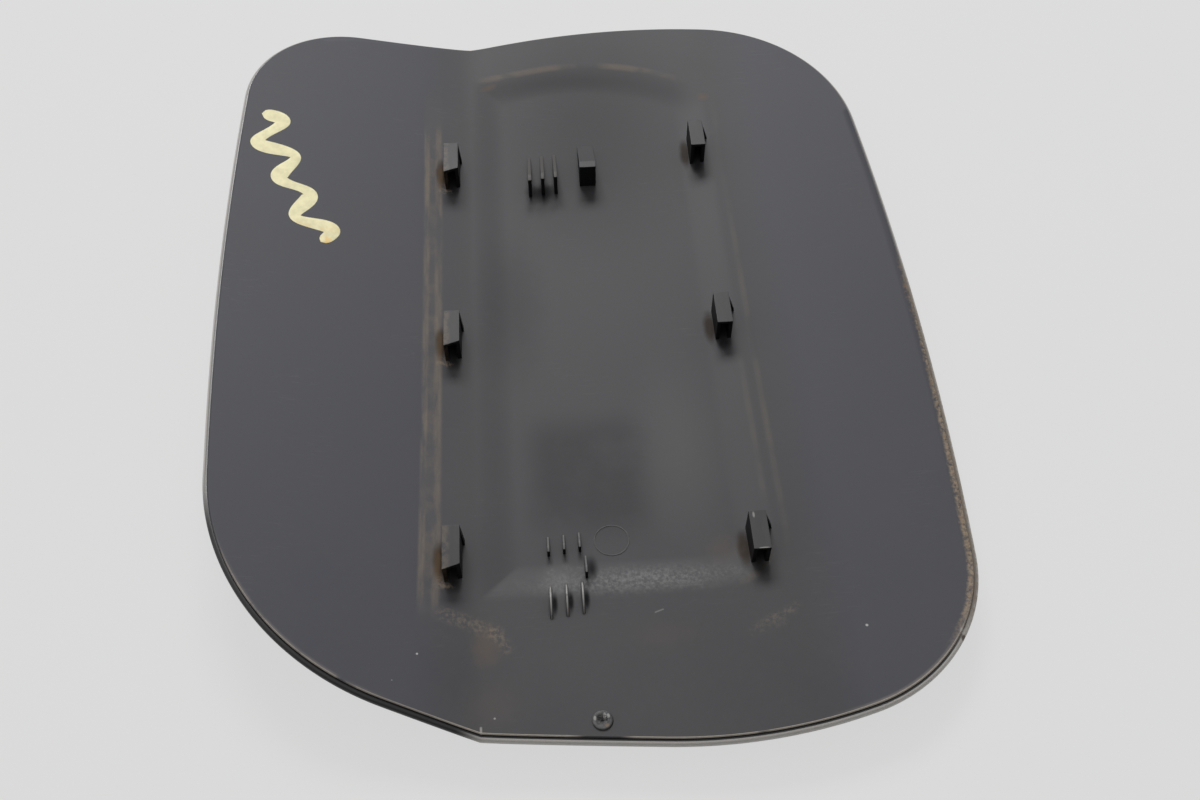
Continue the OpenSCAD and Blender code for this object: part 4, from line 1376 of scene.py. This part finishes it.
def make_sky(scene, st):
    """A sky that is bright behind the object and dims towards the camera and to the right"""
    world = bpy.data.worlds.new("studio")
    scene.world = world
    world.use_nodes = True
    tree = world.node_tree
    tree.nodes.clear()
    way = put_node(tree, "ShaderNodeTexCoord").outputs["Generated"]
    bright_side = Vector(SKY_BRIGHT_SIDE).normalized()
    facing = put_node(tree, "ShaderNodeVectorMath", {0: way, 1: bright_side}, operation="DOT_PRODUCT")
    dim = put_node(tree, "ShaderNodeMapRange", {
        0: facing.outputs["Value"], 1: SKY_DIM_AT, 2: SKY_BRIGHT_AT, 3: st.sky_low, 4: 1.0,
    }, interpolation_type="SMOOTHSTEP").outputs[0]

    def background(strength):
        return put_node(tree, "ShaderNodeBackground", {0: (1, 1, 1, 1), 1: strength}).outputs[0]

    def dimmed(level):
        return background(put_node(tree, "ShaderNodeMath", {0: dim, 1: level}, operation="MULTIPLY").outputs[0])

    mirrored = put_node(
        tree, "ShaderNodeMixShader", {0: seen_rays(tree), 1: dimmed(st.fill), 2: dimmed(st.backdrop)})
    to_camera = put_node(tree, "ShaderNodeLightPath").outputs["Is Camera Ray"]
    seen = put_node(
        tree, "ShaderNodeMixShader", {0: to_camera, 1: mirrored.outputs[0], 2: background(st.backdrop)})
    put_node(tree, "ShaderNodeOutputWorld", {0: seen.outputs[0]})


def make_floor(scene, st):
    """A pale floor that keeps the object's shadow and melts into the background"""
    half = FLOOR_HALF
    mesh = bpy.data.meshes.new("floor")
    mesh.from_pydata(
        [(-half, -half, 0), (half, -half, 0), (half, half, 0), (-half, half, 0)], [], [(0, 1, 2, 3)])
    floor = bpy.data.objects.new("floor", mesh)
    floor.location.z = -FLOOR_DROP
    scene.collection.objects.link(floor)
    matt = bpy.data.materials.new("pale_floor")
    matt.use_nodes = True
    tree = matt.node_tree
    tree.nodes.clear()
    tone = (st.backdrop, st.backdrop, st.backdrop, 1)
    own = put_node(tree, "ShaderNodeMath", {0: seen_rays(tree), 1: st.floor_own}, operation="MULTIPLY")
    lit = put_node(tree, "ShaderNodeBsdfDiffuse", {0: tone})
    glow = put_node(tree, "ShaderNodeEmission", {0: tone})
    blend = put_node(
        tree, "ShaderNodeMixShader", {0: own.outputs[0], 1: lit.outputs[0], 2: glow.outputs[0]})
    put_node(tree, "ShaderNodeOutputMaterial", {0: blend.outputs[0]})
    mesh.materials.append(matt)


class SKIN_OT_stage(Operator):
    """Camera, floor, backdrop and lamps"""

    bl_idname = "fuel_door.stage"
    bl_label = "Stage"

    def execute(self, context):
        for make in (make_camera, make_key_lamp, make_sky, make_floor):
            make(context.scene, settings().studio)
        return {"FINISHED"}


class SKIN_OT_finishes(Operator):
    """Plastic, paint and marker ink"""

    bl_idname = "fuel_door.finishes"
    bl_label = "Finishes"

    def execute(self, context):
        shape = SkinShape()
        for make in (skin_material, feature_material, mark_material, crest_material, gate_material,
                     paint_material, marker_material):
            make(shape)
        return {"FINISHED"}


class SKIN_OT_skin(Operator):
    """The crowned, creased and dished skin with its painted rim"""

    bl_idname = "fuel_door.skin"
    bl_label = "Skin"

    def execute(self, context):
        shape = SkinShape()
        skin = build_skin(shape, [material("moulded_black_plastic"), material("warm_silver_paint")])
        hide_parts(NODE)
        return {"FINISHED"}


class SKIN_OT_clips(Operator):
    """The six slide clips with their gussets"""

    bl_idname = "fuel_door.clips"
    bl_label = "Clips"

    def execute(self, context):
        shape = SkinShape()
        names = [f"clip_{row}_{line}" for line in ("wing", "main") for row in ("low", "mid", "top")]
        f = shape.f
        for name, (x, y) in zip(names, clip_places(shape)):
            foot, slant = (f.gusset_wing_w, f.clip_slant) if x < 0 else (f.gusset_main_w, 0.0)
            form = seated(shape, clip_form(shape, foot, slant), x * MM, y * MM)
            make_piece(name, form, "moulded_features_plastic", even=True)
        return {"FINISHED"}


class SKIN_OT_tab(Operator):
    """The locking tab"""

    bl_idname = "fuel_door.tab"
    bl_label = "Locking tab"

    def execute(self, context):
        shape = SkinShape()
        f = shape.f
        form = wall_form(ramp_profile(shape, f.tab_h, f.tab_land, f.tab_ramp), f.tab_w, f.edge_r)
        form = seated(shape, form, f.tab_x, f.tab_front_y)
        make_piece("locking_tab", form, "moulded_features_plastic", even=True)
        return {"FINISHED"}


class SKIN_OT_ribs(Operator):
    """Upper ribs, short ribs, blade ribs and the stop rib"""

    bl_idname = "fuel_door.ribs"
    bl_label = "Ribs"

    def execute(self, context):
        shape = SkinShape()
        f = shape.f
        places = [(f.rib_x + k * f.rib_pitch, k * f.rib_stagger) for k in (-1, 0, 1)]
        high = ramp_profile(shape, f.top_rib_h, f.top_rib_land, f.top_rib_ramp)
        short = short_profile(shape, f.short_rib_h, f.short_rib_l)
        blade = blade_profile(shape, f.blade_l, f.blade_h)
        stop = short_profile(shape, f.stop_h, f.stop_l)
        groups = {
            "upper_ribs": [(high, f.rib_t, x, behind + f.top_rib_y) for x, behind in places],
            "short_ribs": [(short, f.low_rib_t, x, behind - f.short_rib_y) for x, behind in places],
            "blade_ribs": [(blade, f.low_rib_t, x, behind - f.blade_y) for x, behind in places],
            "stop_rib": [(stop, f.low_rib_t, f.rib_x + f.stop_side, -f.stop_y)],
        }
        for name, ribs in groups.items():
            forms = [seated(shape, wall_form(profile, t, RIB_ROUNDING), x, y) for profile, t, x, y in ribs]
            finish = "moulded_features_plastic" if name == "upper_ribs" else "rib_plastic_painted_crest"
            make_piece(name, joined(forms), finish)
        return {"FINISHED"}


class SKIN_OT_marks(Operator):
    """The ejector mark and the broken gate"""

    bl_idname = "fuel_door.marks"
    bl_label = "Moulding marks"

    def execute(self, context):
        shape = SkinShape()
        make_piece("ejector_mark", ring_form(shape), "faint_mark_plastic", sharp_deg=80)
        make_piece("gate_boss", gate_form(shape), "torn_gate_plastic", sharp_deg=60)
        return {"FINISHED"}


class SKIN_OT_marker(Operator):
    """A wavy stroke of a pale paint marker on the wing"""

    bl_idname = "fuel_door.marker"
    bl_label = "Marker stroke"

    def execute(self, context):
        shape = SkinShape()
        make_piece("marker_stroke", marker_form(shape), "marker_ink", sharp_deg=60)
        return {"FINISHED"}


class SKIN_PT_panel(Panel):
    """Lists the steps that build the fuel door skin"""

    bl_idname = "SKIN_PT_panel"
    bl_label = "Fuel Door Skin"
    bl_space_type = "VIEW_3D"
    bl_region_type = "UI"
    bl_category = "Fuel Door"

    def draw(self, context):
        for step in STEPS:
            self.layout.operator(step.bl_idname)


STEPS = (SKIN_OT_stage, SKIN_OT_finishes, SKIN_OT_skin, SKIN_OT_clips, SKIN_OT_tab, SKIN_OT_ribs,
         SKIN_OT_marks, SKIN_OT_marker)
CLASSES = (OutlineSizes, SkinSizes, FeatureSizes, Finishes, Studio, FuelDoorSkin, *STEPS, SKIN_PT_panel)


def register():
    """Makes the classes and the settings known"""
    for cls in CLASSES:
        bpy.utils.register_class(cls)
    bpy.types.Scene.fuel_door_skin = PointerProperty(type=FuelDoorSkin)


def unregister():
    """Takes them out again"""
    del bpy.types.Scene.fuel_door_skin
    for cls in reversed(CLASSES):
        bpy.utils.unregister_class(cls)


def main():
    """Builds the stage and every piece"""
    register()
    bpy.context.scene.view_settings.view_transform = "Standard"
    for step in STEPS:
        group, name = step.bl_idname.split(".")
        if getattr(getattr(bpy.ops, group), name)() != {"FINISHED"}:
            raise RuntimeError(f"{step.bl_label} did not finish")
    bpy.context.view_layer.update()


if __name__ == "__main__":
    main()
